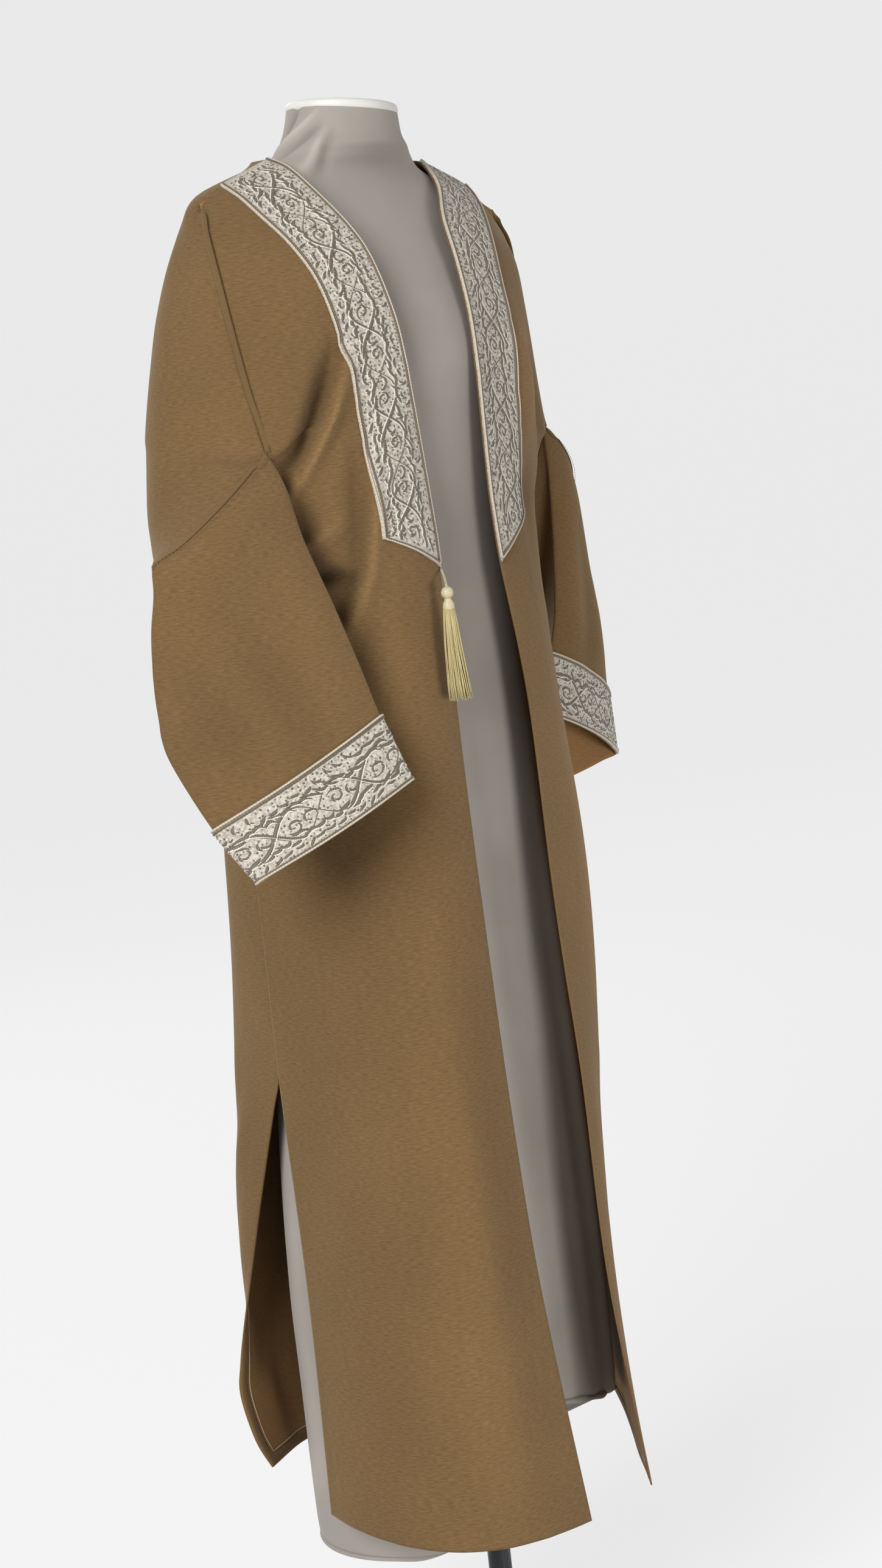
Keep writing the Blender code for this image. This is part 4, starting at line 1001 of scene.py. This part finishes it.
def vine_scroll(length, width, repeat, draw):
    """Strokes of the scroll in (along, across) metres: two crossing stems, curls and leaves."""
    middle = width / 2
    strokes = []
    steps = max(32, int(length / repeat * STEM_POINTS))
    for phase in (0.0, math.pi):
        line = []
        for i in range(steps + 1):
            s = length * i / steps
            line.append((s, middle + SCROLL_SWING * math.sin(2 * math.pi * s / repeat + phase)))
        for i in range(0, steps - 4, STEM_POINTS):
            chunk = line[i: i + STEM_POINTS + 2]
            strokes.append((chunk, nib(chunk, 0.0009, 0.0021, 0.6 - phase / 2)))
    half = 0
    while (half + 0.5) * repeat / 2 < length:
        s = (half + 0.5) * repeat / 2
        spin = 1 if half % 2 == 0 else -1
        turn = spin * 0.6
        # Two curls in each half wave, the second one opened against the first.
        for radius, inner, share, shift in ((0.0078, 0.0018, 1.2, 0.003),
                                            (0.0072, 0.0030, 0.7, -0.011)):
            path = curl((s + shift, middle + spin * 0.001), turn, radius, spin * share, inner)
            strokes.append((path, nib(path, 0.0008, 0.0020, 0.5)))
            turn += spin * 2.4
        # Long leaves lean out from the stems, and short ones stand along the band's edges.
        for side in (-1, 1):
            for k in range(5):
                base = (s + (k - 2.6) * repeat / 10, middle + side * (0.0100 + 0.0025 * (k % 2)))
                strokes.append(leaf(base, side * draw.uniform(0.45, 0.95),
                                    draw.uniform(0.0125, 0.0185), -side * draw.uniform(0.3, 1.3),
                                    0.0021, draw.uniform(-0.7, 0.7)))
            for k in range(4):
                base = (s + (k - 1.5) * repeat / 8, middle + side * 0.0205)
                strokes.append(leaf(base, side * draw.uniform(-0.4, 0.9),
                                    draw.uniform(0.0085, 0.0120), draw.uniform(-1.6, 1.6),
                                    0.0016, 0.4))
        half += 1
    return strokes


def seeds(length, width, strokes, draw):
    """Small single stitches that fill the ground between the strokes."""
    def cell(s, a):
        return int(s // SEED_CELL), int(a // SEED_CELL)
    taken = {}
    for points, widths in strokes:
        for spot in points:
            taken.setdefault(cell(*spot), []).append(spot)
    found = []
    for i in range(int(length / SEED_GAP)):
        for j in range(int(width / SEED_GAP)):
            s = (i + draw.uniform(0.2, 0.8)) * SEED_GAP
            a = (j + draw.uniform(0.2, 0.8)) * SEED_GAP
            u, v = cell(s, a)
            near = [p for du in (-1, 0, 1) for dv in (-1, 0, 1) for p in taken.get((u + du, v + dv), ())]
            if all(math.hypot(s - p[0], a - p[1]) > SEED_CLEAR for p in near):
                turn, size = draw.uniform(0.2, 2.4), draw.uniform(0.0009, 0.0024)
                line = [(s + math.cos(turn) * size * f, a + math.sin(turn) * size * f)
                        for f in (0, 0.33, 0.67, 1)]
                found.append((line, [0.0005, 0.0010, 0.0010, 0.0005]))
    return found


def embroidered(name, skin, seed, closed=False):
    """Vine scroll in raised satin stitch on a band: dark strokes, each with a pale edge that is partly a
    painted highlight.
    """
    along = rows_at(skin, closed)
    rows, columns = len(skin["grid"]), len(skin["grid"][0])
    length, width = along[-1], BAND_WIDTH
    if closed:
        length = sum(line[-1] for line in distances(skin["grid"], closed)[0]) / rows
        width = along[-1]
    repeat = length / max(1, round(length / SCROLL_REPEAT))

    def spot(s, a):
        if closed:
            turn = (s / length) % 1.0
            return (a / width) * (rows - 1), turn * columns
        column = a / width * (columns - 1)
        row = 0
        while row < rows - 2 and along[row + 1] < s:
            row += 1
        row += (s - along[row]) / (along[row + 1] - along[row])
        return min(row, rows - 1.0), column

    def laid(tag, strokes, finish, shift=(0.0, 0.0), share=1.0):
        store = new_store()
        for points, widths in strokes:
            path, sizes = [], []
            for (s, a), w in zip(points, widths):
                s, a = s + shift[0], a + shift[1]
                if not PLAIN_EDGE <= a <= width - PLAIN_EDGE:
                    continue
                if not closed and not PLAIN_EDGE < s < length - PLAIN_EDGE:
                    continue
                path.append(point_on(skin, *spot(s, a), BAND_FACE + THREAD_HEIGHT * 0.15, closed))
                sizes.append(w * share)
            if len(path) > 3:
                sizes[0] = min(sizes[0], 0.0004)
                sizes[-1] = min(sizes[-1], 0.0004)
                swept(store, path, sizes, [min(THREAD_HEIGHT, 0.0002 + w * 0.55) for w in sizes], 5)
        return new_piece(name + tag, store, (finish,))
    draw = random.Random(seed)
    strokes = vine_scroll(length, width, repeat, draw)
    small = seeds(length, width, strokes, draw)
    return [laid("_dark", strokes + small, silk_thread),
            laid("_pale", strokes, silk_edge_and_highlight, HIGHLIGHT_SHIFT, 0.45)]


def band_edge(skin, inset, closed=False):
    """Path round a band, at a distance inside its edge, with its normals."""
    rows, columns = len(skin["grid"]), len(skin["grid"][0])
    lift = BAND_FACE + CORD_RADIUS * 0.35
    if closed:
        width = rows_at(skin, True)[-1]
        paths = []
        for row in (inset / width * (rows - 1), (1 - inset / width) * (rows - 1)):
            paths.append([point_on(skin, row, c, lift, True) for c in range(columns)])
        return paths
    step = inset / BAND_WIDTH * (columns - 1)
    last = rows - 1 - inset / (rows_at(skin)[-1] / (rows - 1))
    path = [point_on(skin, r, step, lift) for r in range(int(last) + 1)]
    path += [point_on(skin, last, c, lift) for c in range(math.ceil(step), columns - 1)]
    path += [point_on(skin, r, columns - 1 - step, lift) for r in range(int(last), -1, -1)]
    return [path]


def edging(name, skin, inset, finish, closed=False):
    """A fine cord laid round a band inside its edge."""
    store = new_store()
    for path in band_edge(skin, inset, closed):
        swept(store, path, [CORD_RADIUS] * len(path), sides=8, closed=closed)
    return new_piece(name, store, (finish,))


def satin(name, base, light, dark):
    """Ribbed cotton satin, packed with small ground stitches that read as dark and pale flecks."""
    made, tree, shader = surface(name, base, 0.62, {"Sheen Weight": 0.15})
    cut = add(tree, "UVMap", {"uv_map": "Cut"}).outputs["UV"]
    place = add(tree, "TexCoord").outputs["Object"]
    # Flecks 3 mm across, in patches of 22 mm.
    flecks = add(tree, "TexNoise", Vector=place, Scale=330.0, Detail=2.0, Roughness=0.55)
    patches = add(tree, "TexNoise", Vector=place, Scale=45.0, Detail=2.0, Roughness=0.6)
    ramp = add(tree, "MapRange", Value=flecks.outputs["Fac"], n1=0.40, n2=0.60)
    toned = add(tree, "Mix", TONES, n0=ramp.outputs["Result"], n6=colour(dark), n7=colour(light)).outputs[2]
    share = add(tree, "MapRange", Value=patches.outputs["Fac"], n1=0.3, n2=0.7, n3=0.15, n4=0.55)
    toned = add(tree, "Mix", TONES, n0=share.outputs["Result"], n6=toned, n7=colour(base)).outputs[2]
    # Ribs 1.2 mm apart, twice the real spacing so that they show.
    ribs = add(tree, "TexWave", {"bands_direction": "Y"}, Vector=cut, Scale=265.0, Distortion=0.6)
    height = add(tree, "Math", {"operation": "MULTIPLY_ADD"}, n0=flecks.outputs["Fac"], n1=2.5,
                 n2=ribs.outputs["Fac"])
    dressed(tree, shader, toned, height.outputs[0], 0.5, 0.0005)
    return made


def thread(name, base, light, pitch, roughness=0.5):
    """Twisted or laid thread: narrow bright and dark turns along the strand."""
    made, tree, shader = surface(name, base, roughness, {"Sheen Weight": 0.2})
    cut = add(tree, "UVMap", {"uv_map": "Cut"}).outputs["UV"]
    turned = add(tree, "Mapping", Vector=cut, Scale=(pitch * 1.2, 1.0, 1.0)).outputs["Vector"]
    turns = add(tree, "TexWave", {"bands_direction": "DIAGONAL"}, Vector=turned, Scale=0.32 / pitch)
    toned = add(tree, "Mix", TONES, n0=turns.outputs["Fac"], n6=colour(base), n7=colour(light)).outputs[2]
    dressed(tree, shader, toned, turns.outputs["Fac"], 0.4, 0.0003)
    return made


band_satin = satin("ribbed_satin", "#BBB3A6", "#D0CABE", "#968C7C")
# The turns of the embroidery silk are 1.1 mm apart and those of the twisted cords 1.6 mm.
silk_thread = thread("grey_silk", "#554C40", "#6E6456", 0.0011)
# Pale silk along one side of each stroke: a real pale outline and a painted highlight of the raised stitch.
silk_edge_and_highlight = thread("pale_silk", "#C9C1B3", "#DDD7CB", 0.0011)
pale_cord = thread("pale_cord", "#B0A590", "#C6BCA9", 0.0016)
brown_cord = thread("taupe_cord", "#554838", "#6B5D4A", 0.0016)

cuff_rows = CUFF_STEPS * ROW_PARTS
cuffs = [{key: skin[key][-cuff_rows - 1:] for key in ("grid", "normals")}
         for skin in (skin_sleeve_right, skin_sleeve_left)]
band_skins = {"front_band_right": front_band_skin(skin_right),
              "front_band_left": front_band_skin(skin_left),
              "cuff_band_right": cuffs[0], "cuff_band_left": cuffs[1]}
trims, slabs = {}, {}
for seed, (band, skin) in enumerate(band_skins.items(), 11):
    closed = band.startswith("cuff")
    slab = band_slab(band + "_satin", skin, closed)
    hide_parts(band)
    slabs[band] = slab
    trims[band] = embroidered(band + "_scroll", skin, seed, closed) + [
        edging(band + "_outer_cord", skin, CORD_INSET, pale_cord, closed),
        edging(band + "_inner_cord", skin, CORD_INSET + CORD_STEP, brown_cord, closed),
    ]

# --- Seams ---------------------------------------------------------------------------------
# The shoulder and armhole seams are felled: turned to one side and topstitched, so that a low
# narrow ridge runs along each; a row of stitches is drawn along the armholes only.
WELT_HALF = 0.0032        # half the width of a shoulder's ridge, and its height
WELT_HEIGHT = 0.0016
ARM_WELT = (0.0024, 0.0007)   # the same of an armhole's
STITCH_PITCH = 0.0042     # from one stitch to the next
STITCH_LENGTH = 0.0030
STITCH_RADIUS = 0.00028
STITCH_LIFT = 0.0003      # of a stitch's middle over the cloth


def resampled(path, gap):
    """Points of a path at even distances, with their normals."""
    found = [path[0]]
    run, wanted = 0.0, gap
    for (p, n), (q, m) in zip(path, path[1:]):
        size = (q - p).length
        while size > 0 and run + size >= wanted:
            f = (wanted - run) / size
            found.append((p.lerp(q, f), n.lerp(m, f).normalized()))
            wanted += gap
        run += size
    return found


def welt(name, path, half_width=WELT_HALF, height=WELT_HEIGHT):
    """A low ridge of cloth along a path, which rises from nothing at its start."""
    store = new_store()
    heights = [height * eased((i + 2) / 14) for i in range(len(path))]
    swept(store, path, [half_width] * len(path), heights, 8)
    return new_piece(name, store, (felted_wool,))


def stitches(name, paths, finish):
    """Rows of single stitches, each a short round-ended grain half sunk in the cloth."""
    store = new_store()
    sizes = [STITCH_RADIUS * f for f in (0.45, 1, 1, 0.45)]
    for path in paths:
        for (p, n), (q, m) in zip(*[iter(resampled(path, STITCH_PITCH / 2))] * 2):
            along = q - p
            if along.length < 1e-6:
                continue
            along = along.normalized() * STITCH_LENGTH
            line = [(p + along * f + n * STITCH_LIFT, n) for f in (0.0, 0.25, 0.75, 1.0)]
            swept(store, line, sizes, sides=5)
    return new_piece(name, store, (finish,))


def aside_path(path, shift):
    """A path moved sideways over its surface; shift is positive to the left of its run."""
    found = []
    for i, (p, n) in enumerate(path):
        a, b = path[max(i - 1, 0)][0], path[min(i + 1, len(path) - 1)][0]
        found.append((p + n.cross(b - a).normalized() * shift, n))
    return found


# Matt sewing thread with turns of 0.8 mm.
seam_thread = thread("seam_thread", "#5E4A30", "#6E573A", 0.0008, 0.7)
welts, rows_of_stitches = [], []
upper_rows = UPPER_STEPS * ROW_PARTS
arm_end = (UPPER_STEPS + ARM_FACE_STEPS) * ROW_PARTS
for side, column, inward in (("right", 0, 1), ("left", -1, -1)):
    edge = [(row[column], line[column]) for row, line in zip(skin_back["grid"], skin_back["normals"])]
    ridge, arm = edge[: upper_rows + 1], edge[upper_rows: arm_end + 1]
    welts.append(welt("shoulder_welt_" + side, aside_path(ridge, inward * WELT_HALF * 0.8)))
    welts.append(welt("armhole_welt_" + side, aside_path(arm, -inward * 0.0004), *ARM_WELT))
    rows_of_stitches.append(aside_path(arm, inward * 0.0042))
seam_stitches = stitches("seam_stitches", rows_of_stitches, seam_thread)

# --- Hems ----------------------------------------------------------------------------------
# The edges are turned in by 10 mm and held by a paler binding thread, seen at the slits, the
# hem and the front edges from inside.
HEM_HALF = 0.0048         # half the width of the turned edge, and its height
HEM_HEIGHT = 0.0006
HEM_EDGE = 0.0012         # from the cut edge to the turned one
HEM_LIFT = -0.0020        # from the outer face of the cloth to the middle of the turned edge


def inside_edge(skin, inset, first_left, first_right):
    """Path at a distance inside a panel's side edges and hem, from the given rows down."""
    grid = skin["grid"]
    last, wide = len(grid) - 1, len(grid[0]) - 1
    low = inset / (grid[last][wide // 2] - grid[last - 1][wide // 2]).length
    path = [point_on(skin, r, inset / (grid[r][1] - grid[r][0]).length, HEM_LIFT)
            for r in range(first_left, last - math.ceil(low))]
    ends = [math.ceil(inset / (grid[last][1] - grid[last][0]).length),
            wide - math.ceil(inset / (grid[last][-1] - grid[last][-2]).length)]
    for c in range(ends[0], ends[1] + 1):
        row = last - inset / (grid[last][c] - grid[last - 1][c]).length
        path.append(point_on(skin, row, c, HEM_LIFT))
    for r in range(last - math.ceil(low) - 1, first_right - 1, -1):
        path.append(point_on(skin, r, wide - inset / (grid[r][-1] - grid[r][-2]).length, HEM_LIFT))
    return path


pale_thread = thread("pale_thread", "#9C8667", "#B39F82", 0.0008, 0.7)
arm_front, arm_back = UPPER_STEPS + ARM_FRONT_STEPS, UPPER_STEPS + ARM_FACE_STEPS + ARM_UNDER_STEPS
hems = {}
for panel, skin, left_row, right_row in (
        ("front_right", skin_right, arm_front + BAND_TIP_ROW, arm_front + SLIT_ROW),
        ("front_left", skin_left, arm_front + BAND_TIP_ROW, arm_front + SLIT_ROW),
        ("back_panel", skin_back, arm_back + SLIT_ROW, arm_back + SLIT_ROW)):
    turned, bound = [inside_edge(skin, inset + HEM_EDGE, left_row * ROW_PARTS, right_row * ROW_PARTS)
                     for inset in (HEM_HALF, HEM_HALF * 2)]
    store = new_store()
    swept(store, bound, [0.0007] * len(bound), [0.0006] * len(bound))
    hems[panel] = [welt(panel + "_hem", turned, HEM_HALF, HEM_HEIGHT),
                   new_piece(panel + "_hem_thread", store, (pale_thread,))]

# --- Dress form ----------------------------------------------------------------------------
# A padded limbless form with a long cover of pale grey cotton jersey, pulled tight over the
# neck, where it creases, and hanging straight to a rounded hem round the pole.

# Rings down the form: z, half widths in x and y, and the middle's x and y
FORM_SECTIONS = (
    (1.6545, 0.0566, 0.0556, 0.000, 0.000),
    (1.6300, 0.0620, 0.0580, -0.002, 0.001),
    (1.6120, 0.0720, 0.0600, -0.004, 0.002),
    (1.6010, 0.0820, 0.0590, -0.004, 0.007),
    (1.5878, 0.1060, 0.0540, -0.007, 0.012),
    (1.5725, 0.1420, 0.0560, -0.006, 0.0145),
    (1.5520, 0.1710, 0.0640, -0.003, 0.014),
    (1.5200, 0.1860, 0.0780, 0.000, 0.012),
    (1.4700, 0.1780, 0.0980, 0.000, 0.006),
    (1.4000, 0.1680, 0.1180, 0.000, 0.002),
    (1.3200, 0.1560, 0.1160, 0.000, 0.004),
    (1.2000, 0.1420, 0.1120, 0.000, 0.006),
    (1.1000, 0.1430, 0.1140, 0.000, 0.008),
    (0.9700, 0.1530, 0.1200, -0.001, 0.010),
    (0.8000, 0.1700, 0.1270, -0.006, 0.012),
    (0.6000, 0.1820, 0.1370, -0.012, 0.013),
    (0.4500, 0.1860, 0.1420, -0.015, 0.013),
    (0.3500, 0.1860, 0.1420, -0.015, 0.013),
)
FORM_SIDES = 28
FORM_RING_PARTS = 8       # fine rings in each step between them
FORM_SIDE_PARTS = 6       # fine sides in each of the sides
FORM_HEM_LOW = 0.182      # lower rim of the form's cover at the wearer's right
FORM_HEM_RISE = 0.118     # and how much higher it hangs at the middle
FORM_FLOOR_Z = 0.240      # flat disc in the form's underside, where the pole meets it
FORM_FLOOR_RADIUS = 0.022
NECK_TILT = 0.105         # the neck's top leans down to the wearer's left and front
NECK_DROP = 0.0055        # and sits this much under the solid's
# Pulls of the jersey at the neck: half width, height, then turn from +X in degrees and z
NECK_PULLS = (
    (0.0045, -0.0050, 178, 1.652, 170, 1.640, 158, 1.622),
    (0.0034, 0.0050, 203, 1.648, 184, 1.629, 160, 1.607),
    (0.0040, -0.0040, 206, 1.636, 190, 1.618, 172, 1.602),
    (0.0045, 0.0045, 212, 1.630, 204, 1.606, 197, 1.580),
    (0.0040, -0.0030, 219, 1.626, 212, 1.602, 206, 1.576),
    (0.0060, 0.0015, -10, 1.640, 20, 1.600),
    (0.0060, 0.0020, 75, 1.605, 110, 1.640),
)
NECK_ARC = 0.00105        # metres of the neck's surface in a degree
COVER_WAVES = ((7, 0.0020, 0.3), (11, 0.0014, 1.9), (17, 0.0008, 0.8))   # count, height, phase


def ellipse(z, half_x, half_y, centre_x, centre_y):
    turns = [2 * math.pi * i / FORM_SIDES for i in range(FORM_SIDES)]
    return [Vector((centre_x + half_x * math.cos(turn), centre_y + half_y * math.sin(turn), z))
            for turn in turns]


def form_rings():
    """Coarse rings of the form from its neck to the hem and the flat disc round the pole."""
    rings = [ellipse(*row) for row in FORM_SECTIONS]
    low = FORM_SECTIONS[-1]
    for inset, rise in ((0.0010, 0.016), (0.0060, 0.004), (0.0160, 0.000)):
        rim = ellipse(0.0, low[1] - inset, low[2] - inset, low[3], low[4])
        for p in rim:
            hang = FORM_HEM_LOW + FORM_HEM_RISE * eased((p.x + 0.15) / 0.14)
            p.z = hang - 0.25 * max(0.0, p.x) + rise
        rings.append(rim)
    rings.append(ellipse(FORM_FLOOR_Z, FORM_FLOOR_RADIUS, FORM_FLOOR_RADIUS, 0.0, 0.0))
    return rings


def tilted(p):
    """A point of the neck moved by the lean of the neck's top."""
    share = eased((p.z - 1.60) / 0.04)
    return p - Vector((0.0, 0.0, share * (NECK_DROP + NECK_TILT * (p.x * aside.x + p.y * aside.y))))


def pulled(grid):
    """The form's skin with the neck's pulls and the long soft waves of the hanging cover."""
    normals = grid_normals(grid, closed=True)
    made, hollows = [], []
    for row, line in zip(grid, normals):
        points = []
        for p, n in zip(row, line):
            turn = (math.degrees(math.atan2(p.y, p.x)) + 90) % 360 - 90
            height = 0.0
            for width, high, *spots in NECK_PULLS:
                arc = [q * NECK_ARC if i % 2 == 0 else q for i, q in enumerate(spots)]
                f, away = nearest(arc, turn * NECK_ARC, p.z)
                if away < 3 * width and p.z > 1.56:
                    fade = math.sin(math.pi * (0.1 + 0.8 * f))
                    height += high * fade * math.exp(-(away / width) ** 2)
            hanging = eased((1.15 - p.z) / 0.6) * eased((p.z - 0.21) / 0.05)
            for count, high, phase in COVER_WAVES:
                height += hanging * high * math.sin(math.radians(turn) * count + phase + 1.5 * p.z)
            points.append(tilted(p + n * (height - hanging * 0.002)))
            hollows.append(-height)
        made.append(points)
    return made, hollows


def jersey(name, base, light, dark):
    """Fine cotton jersey: columns of stitches 1.4 mm wide, drawn coarser than they are."""
    made, tree, shader = surface(name, base, 0.86, {
        "Sheen Weight": 0.12, "Sheen Roughness": 0.6, "Specular IOR Level": 0.25})
    cut = add(tree, "UVMap", {"uv_map": "Cut"}).outputs["UV"]
    place = add(tree, "TexCoord").outputs["Object"]
    patches = add(tree, "TexNoise", Vector=place, Scale=7.0, Detail=3.0, Roughness=0.5)
    ramp = add(tree, "MapRange", Value=patches.outputs["Fac"], n1=0.3, n2=0.7)
    toned = add(tree, "Mix", TONES, n0=ramp.outputs["Result"], n6=colour(dark), n7=colour(light)).outputs[2]
    # Painted highlight on the jersey's pulls and wave crests, and painted shade between them, by each
    # point's height.
    hollow = add(tree, "Attribute", {"attribute_name": "Hollow"}).outputs["Fac"]
    painted_pull_shade = add(tree, "MapRange", Value=hollow, n1=-0.004, n2=0.004, n3=1.18, n4=0.66)
    toned = add(tree, "Mix", SHADES, n0=1.0, n6=toned, n7=painted_pull_shade.outputs["Result"]).outputs[2]
    wales = add(tree, "TexWave", {"bands_direction": "X"}, Vector=cut, Scale=225.0, Distortion=0.4,
                Detail=1.0)
    fuzz = add(tree, "TexNoise", Vector=cut, Scale=900.0, Detail=2.0)
    height = add(tree, "Math", {"operation": "ADD"}, n0=wales.outputs["Fac"], n1=fuzz.outputs["Fac"])
    dressed(tree, shader, toned, height.outputs[0], 0.25, 0.0003)
    return made


grey_jersey = jersey("grey_jersey", "#9F9890", "#A59E96", "#968F86")
form_parts = [FORM_SIDE_PARTS] * FORM_SIDES
form_grid, form_hollows = pulled(fine_grid(form_rings(), form_parts, FORM_RING_PARTS, closed=True))
form_skin = {**with_normals(form_grid, closed=True), "hollows": form_hollows}
form_cover = grid_mesh("form_cover", form_skin, (grey_jersey,), closed=True)
select_only(form_cover)
bpy.ops.object.mode_set(mode="EDIT")
bpy.ops.mesh.select_mode(type="EDGE")
bpy.ops.mesh.select_all(action="DESELECT")
bpy.ops.mesh.select_non_manifold(extend=False)
bpy.ops.mesh.edge_face_add()
bpy.ops.object.mode_set(mode="OBJECT")
form_cover.select_set(False)
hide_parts("form_body")

# --- Cap of the form -----------------------------------------------------------------------
# A turned and painted wooden disc with a rounded rim that closes the form's neck.
cap_low, cap_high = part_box("form_cap")
cap_radius = (cap_high[0] - cap_low[0]) / 2 * 0.975
bpy.ops.mesh.primitive_cylinder_add(
    vertices=96, radius=cap_radius, depth=cap_high[2] - cap_low[2],
    location=(0, 0, (cap_high[2] + cap_low[2]) / 2))
cap = bpy.context.active_object
cap.name = "neck_cap"
bpy.ops.object.transform_apply(location=True, rotation=True, scale=True)
bevel = cap.modifiers.new("rim", "BEVEL")
bevel.width = 0.0046
bevel.segments = 5
bevel.limit_method = "ANGLE"
apply_modifiers(cap)
for vertex in cap.data.vertices:
    vertex.co = tilted(vertex.co)
cap.data.shade_smooth()
cap.data.set_sharp_from_angle(angle=math.radians(45))
# Eggshell paint, a little uneven in clouds of 25 mm.
cap_paint, cap_tree, cap_shader = surface("eggshell_paint", "#D5D2CC", 0.5)
cap_place = add(cap_tree, "TexCoord").outputs["Object"]
cap_noise = add(cap_tree, "TexNoise", Vector=cap_place, Scale=40.0, Detail=3.0)
cap_tone = add(cap_tree, "Mix", TONES, n0=cap_noise.outputs["Fac"], n6=colour("#CFCBC4"),
               n7=colour("#DBD9D4"))
cap_tree.links.new(cap_tone.outputs[2], cap_shader.inputs["Base Color"])
cap.data.materials.append(cap_paint)
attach(cap, "root")
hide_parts("form_cap")

# --- Pole and base -------------------------------------------------------------------------
# Steel tube and a heavy pressed disc, powder coated black with a fine orange-peel grain.
coat, coat_tree, coat_shader = surface("black_powder_coat", "#24282A", 0.42)
coat_place = add(coat_tree, "TexCoord").outputs["Object"]
# Grains 1.1 mm across.
coat_grain = add(coat_tree, "TexNoise", Vector=coat_place, Scale=900.0, Detail=2.0).outputs["Fac"]
coat_tone = add(coat_tree, "Mix", TONES, n0=coat_grain, n6=colour("#202426"), n7=colour("#2C3033"))
dressed(coat_tree, coat_shader, coat_tone.outputs[2], coat_grain, 0.2, 0.0002)
for name in ("stand_pole", "stand_base"):
    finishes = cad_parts[name].data.materials
    finishes.clear()
    finishes.append(coat)

# --- Tassel --------------------------------------------------------------------------------
# Pale gold rayon: a looped cord sewn under the band's point, a bead wound with thread, a
# wrapped head and a skirt of fine strands cut level.
BEAD_RADIUS = 0.0062
STRANDS = 210
STRAND_POINTS = 7
STRAND_RADIUS = 0.00048
TASSEL_FLARE = 2.1        # how much wider the skirt is at its cut end
SKIRT_RADIUS = 0.0056     # of the skirt where it leaves the head
GOLDEN_TURN = 2.39996     # radians from one strand to the next, which spreads them evenly


def facing_front(points):
    """A path of points that all face the front."""
    return [(p, Vector((0, -1, 0))) for p in points]


def ball_skin(store, centre, radius, height, rings=12, sides=20):
    """A turned round body as a swept strand of changing width."""
    turns = [math.pi * i / rings for i in range(rings + 1)]
    path = [centre + Vector((0, 0, height * math.cos(turn))) for turn in turns]
    sizes = [max(radius * math.sin(turn), 0.0004) for turn in turns]
    swept(store, facing_front(path), sizes, sides=sides)


band_tip = band_skins["front_band_right"]
tip_point = band_tip["grid"][-1][0] + band_tip["normals"][-1][0] * (BAND_LIFT + BAND_THICK / 2)
# Middles of the bead and of the wrapped head under it, and the lowest strand's end
bead = Vector((-0.0745, -0.1620, 1.158))
head = bead + Vector((0, 0, -0.0135))
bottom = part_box("tassel")[0][2] + 0.001
# Lustrous rayon: 1.2 mm turns in the loose strands, 0.9 mm where it is wound.
rayon = thread("gold_rayon", "#B09F64", "#CFBF8E", 0.0012, 0.38)
rayon_dark = thread("wrapped_rayon", "#B3A67F", "#CFC6A6", 0.0009, 0.45)
wound = new_store()
loop_path = []
for i in range(9):
    f = i / 8
    slack = Vector((0, -0.0008, 0)) * math.sin(math.pi * f)
    loop_path.append(tip_point.lerp(bead + Vector((0, 0, BEAD_RADIUS)), f) + slack)
for shift in (-0.0008, 0.0008):
    swept(wound, facing_front(p + Vector((shift, 0, 0)) for p in loop_path), [0.0007] * 9)
ball_skin(wound, bead, BEAD_RADIUS, BEAD_RADIUS)
ball_skin(wound, bead + Vector((0, 0, -0.0072)), 0.0036, 0.0026, 8)
ball_skin(wound, head, 0.0058, 0.0078)
tassel_head = new_piece("tassel_head", wound, (rayon_dark,))
skirt = new_store()
draw = random.Random(3)
for i in range(STRANDS):
    turn = i * GOLDEN_TURN
    size = SKIRT_RADIUS * math.sqrt((i + 0.5) / STRANDS)
    flare = TASSEL_FLARE * (0.82 + 0.25 * draw.random())
    low = bottom + 0.004 * draw.random()
    top = head.z - 0.002
    path = []
    wander = draw.uniform(0, 6.28)
    for j in range(STRAND_POINTS):
        f = j / (STRAND_POINTS - 1)
        spread = 1 + (flare - 1) * f ** 0.75
        sway = 0.0009 * f * math.sin(wander + 5 * f)
        path.append(Vector((head.x + math.cos(turn) * size * spread + sway + 0.004 * f * f,
                            head.y + math.sin(turn) * size * spread - sway * 0.6,
                            top + (low - top) * f)))
    swept(skirt, facing_front(path), [STRAND_RADIUS] * STRAND_POINTS, sides=4)
tassel_skirt = new_piece("tassel_skirt", skirt, (rayon,))
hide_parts("tassel")

# --- Cloth pieces and how they were cut ----------------------------------------------------
# The flat size of each piece before it was sewn, its area, that it is hung, what it hangs from,
# and the pieces along its edges. A sleeve or cuff is measured all round. The table is only
# listed: the loop turns the last column into a list and keeps nothing.
for cloth, flat, area, held, rests_on, along in (
        (front_right, (0.336, 1.445), 0.352, "hung", form_cover, hems["front_right"]),
        (front_left, (0.290, 1.445), 0.340, "hung", form_cover, hems["front_left"]),
        (back_panel, (0.820, 1.515), 0.789, "hung", form_cover,
         hems["back_panel"] + welts + [seam_stitches]),
        (sleeve_right, (0.497, 0.346), 0.133, "hung", back_panel, []),
        (sleeve_left, (0.427, 0.317), 0.087, "hung", back_panel, [])):
    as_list(along)
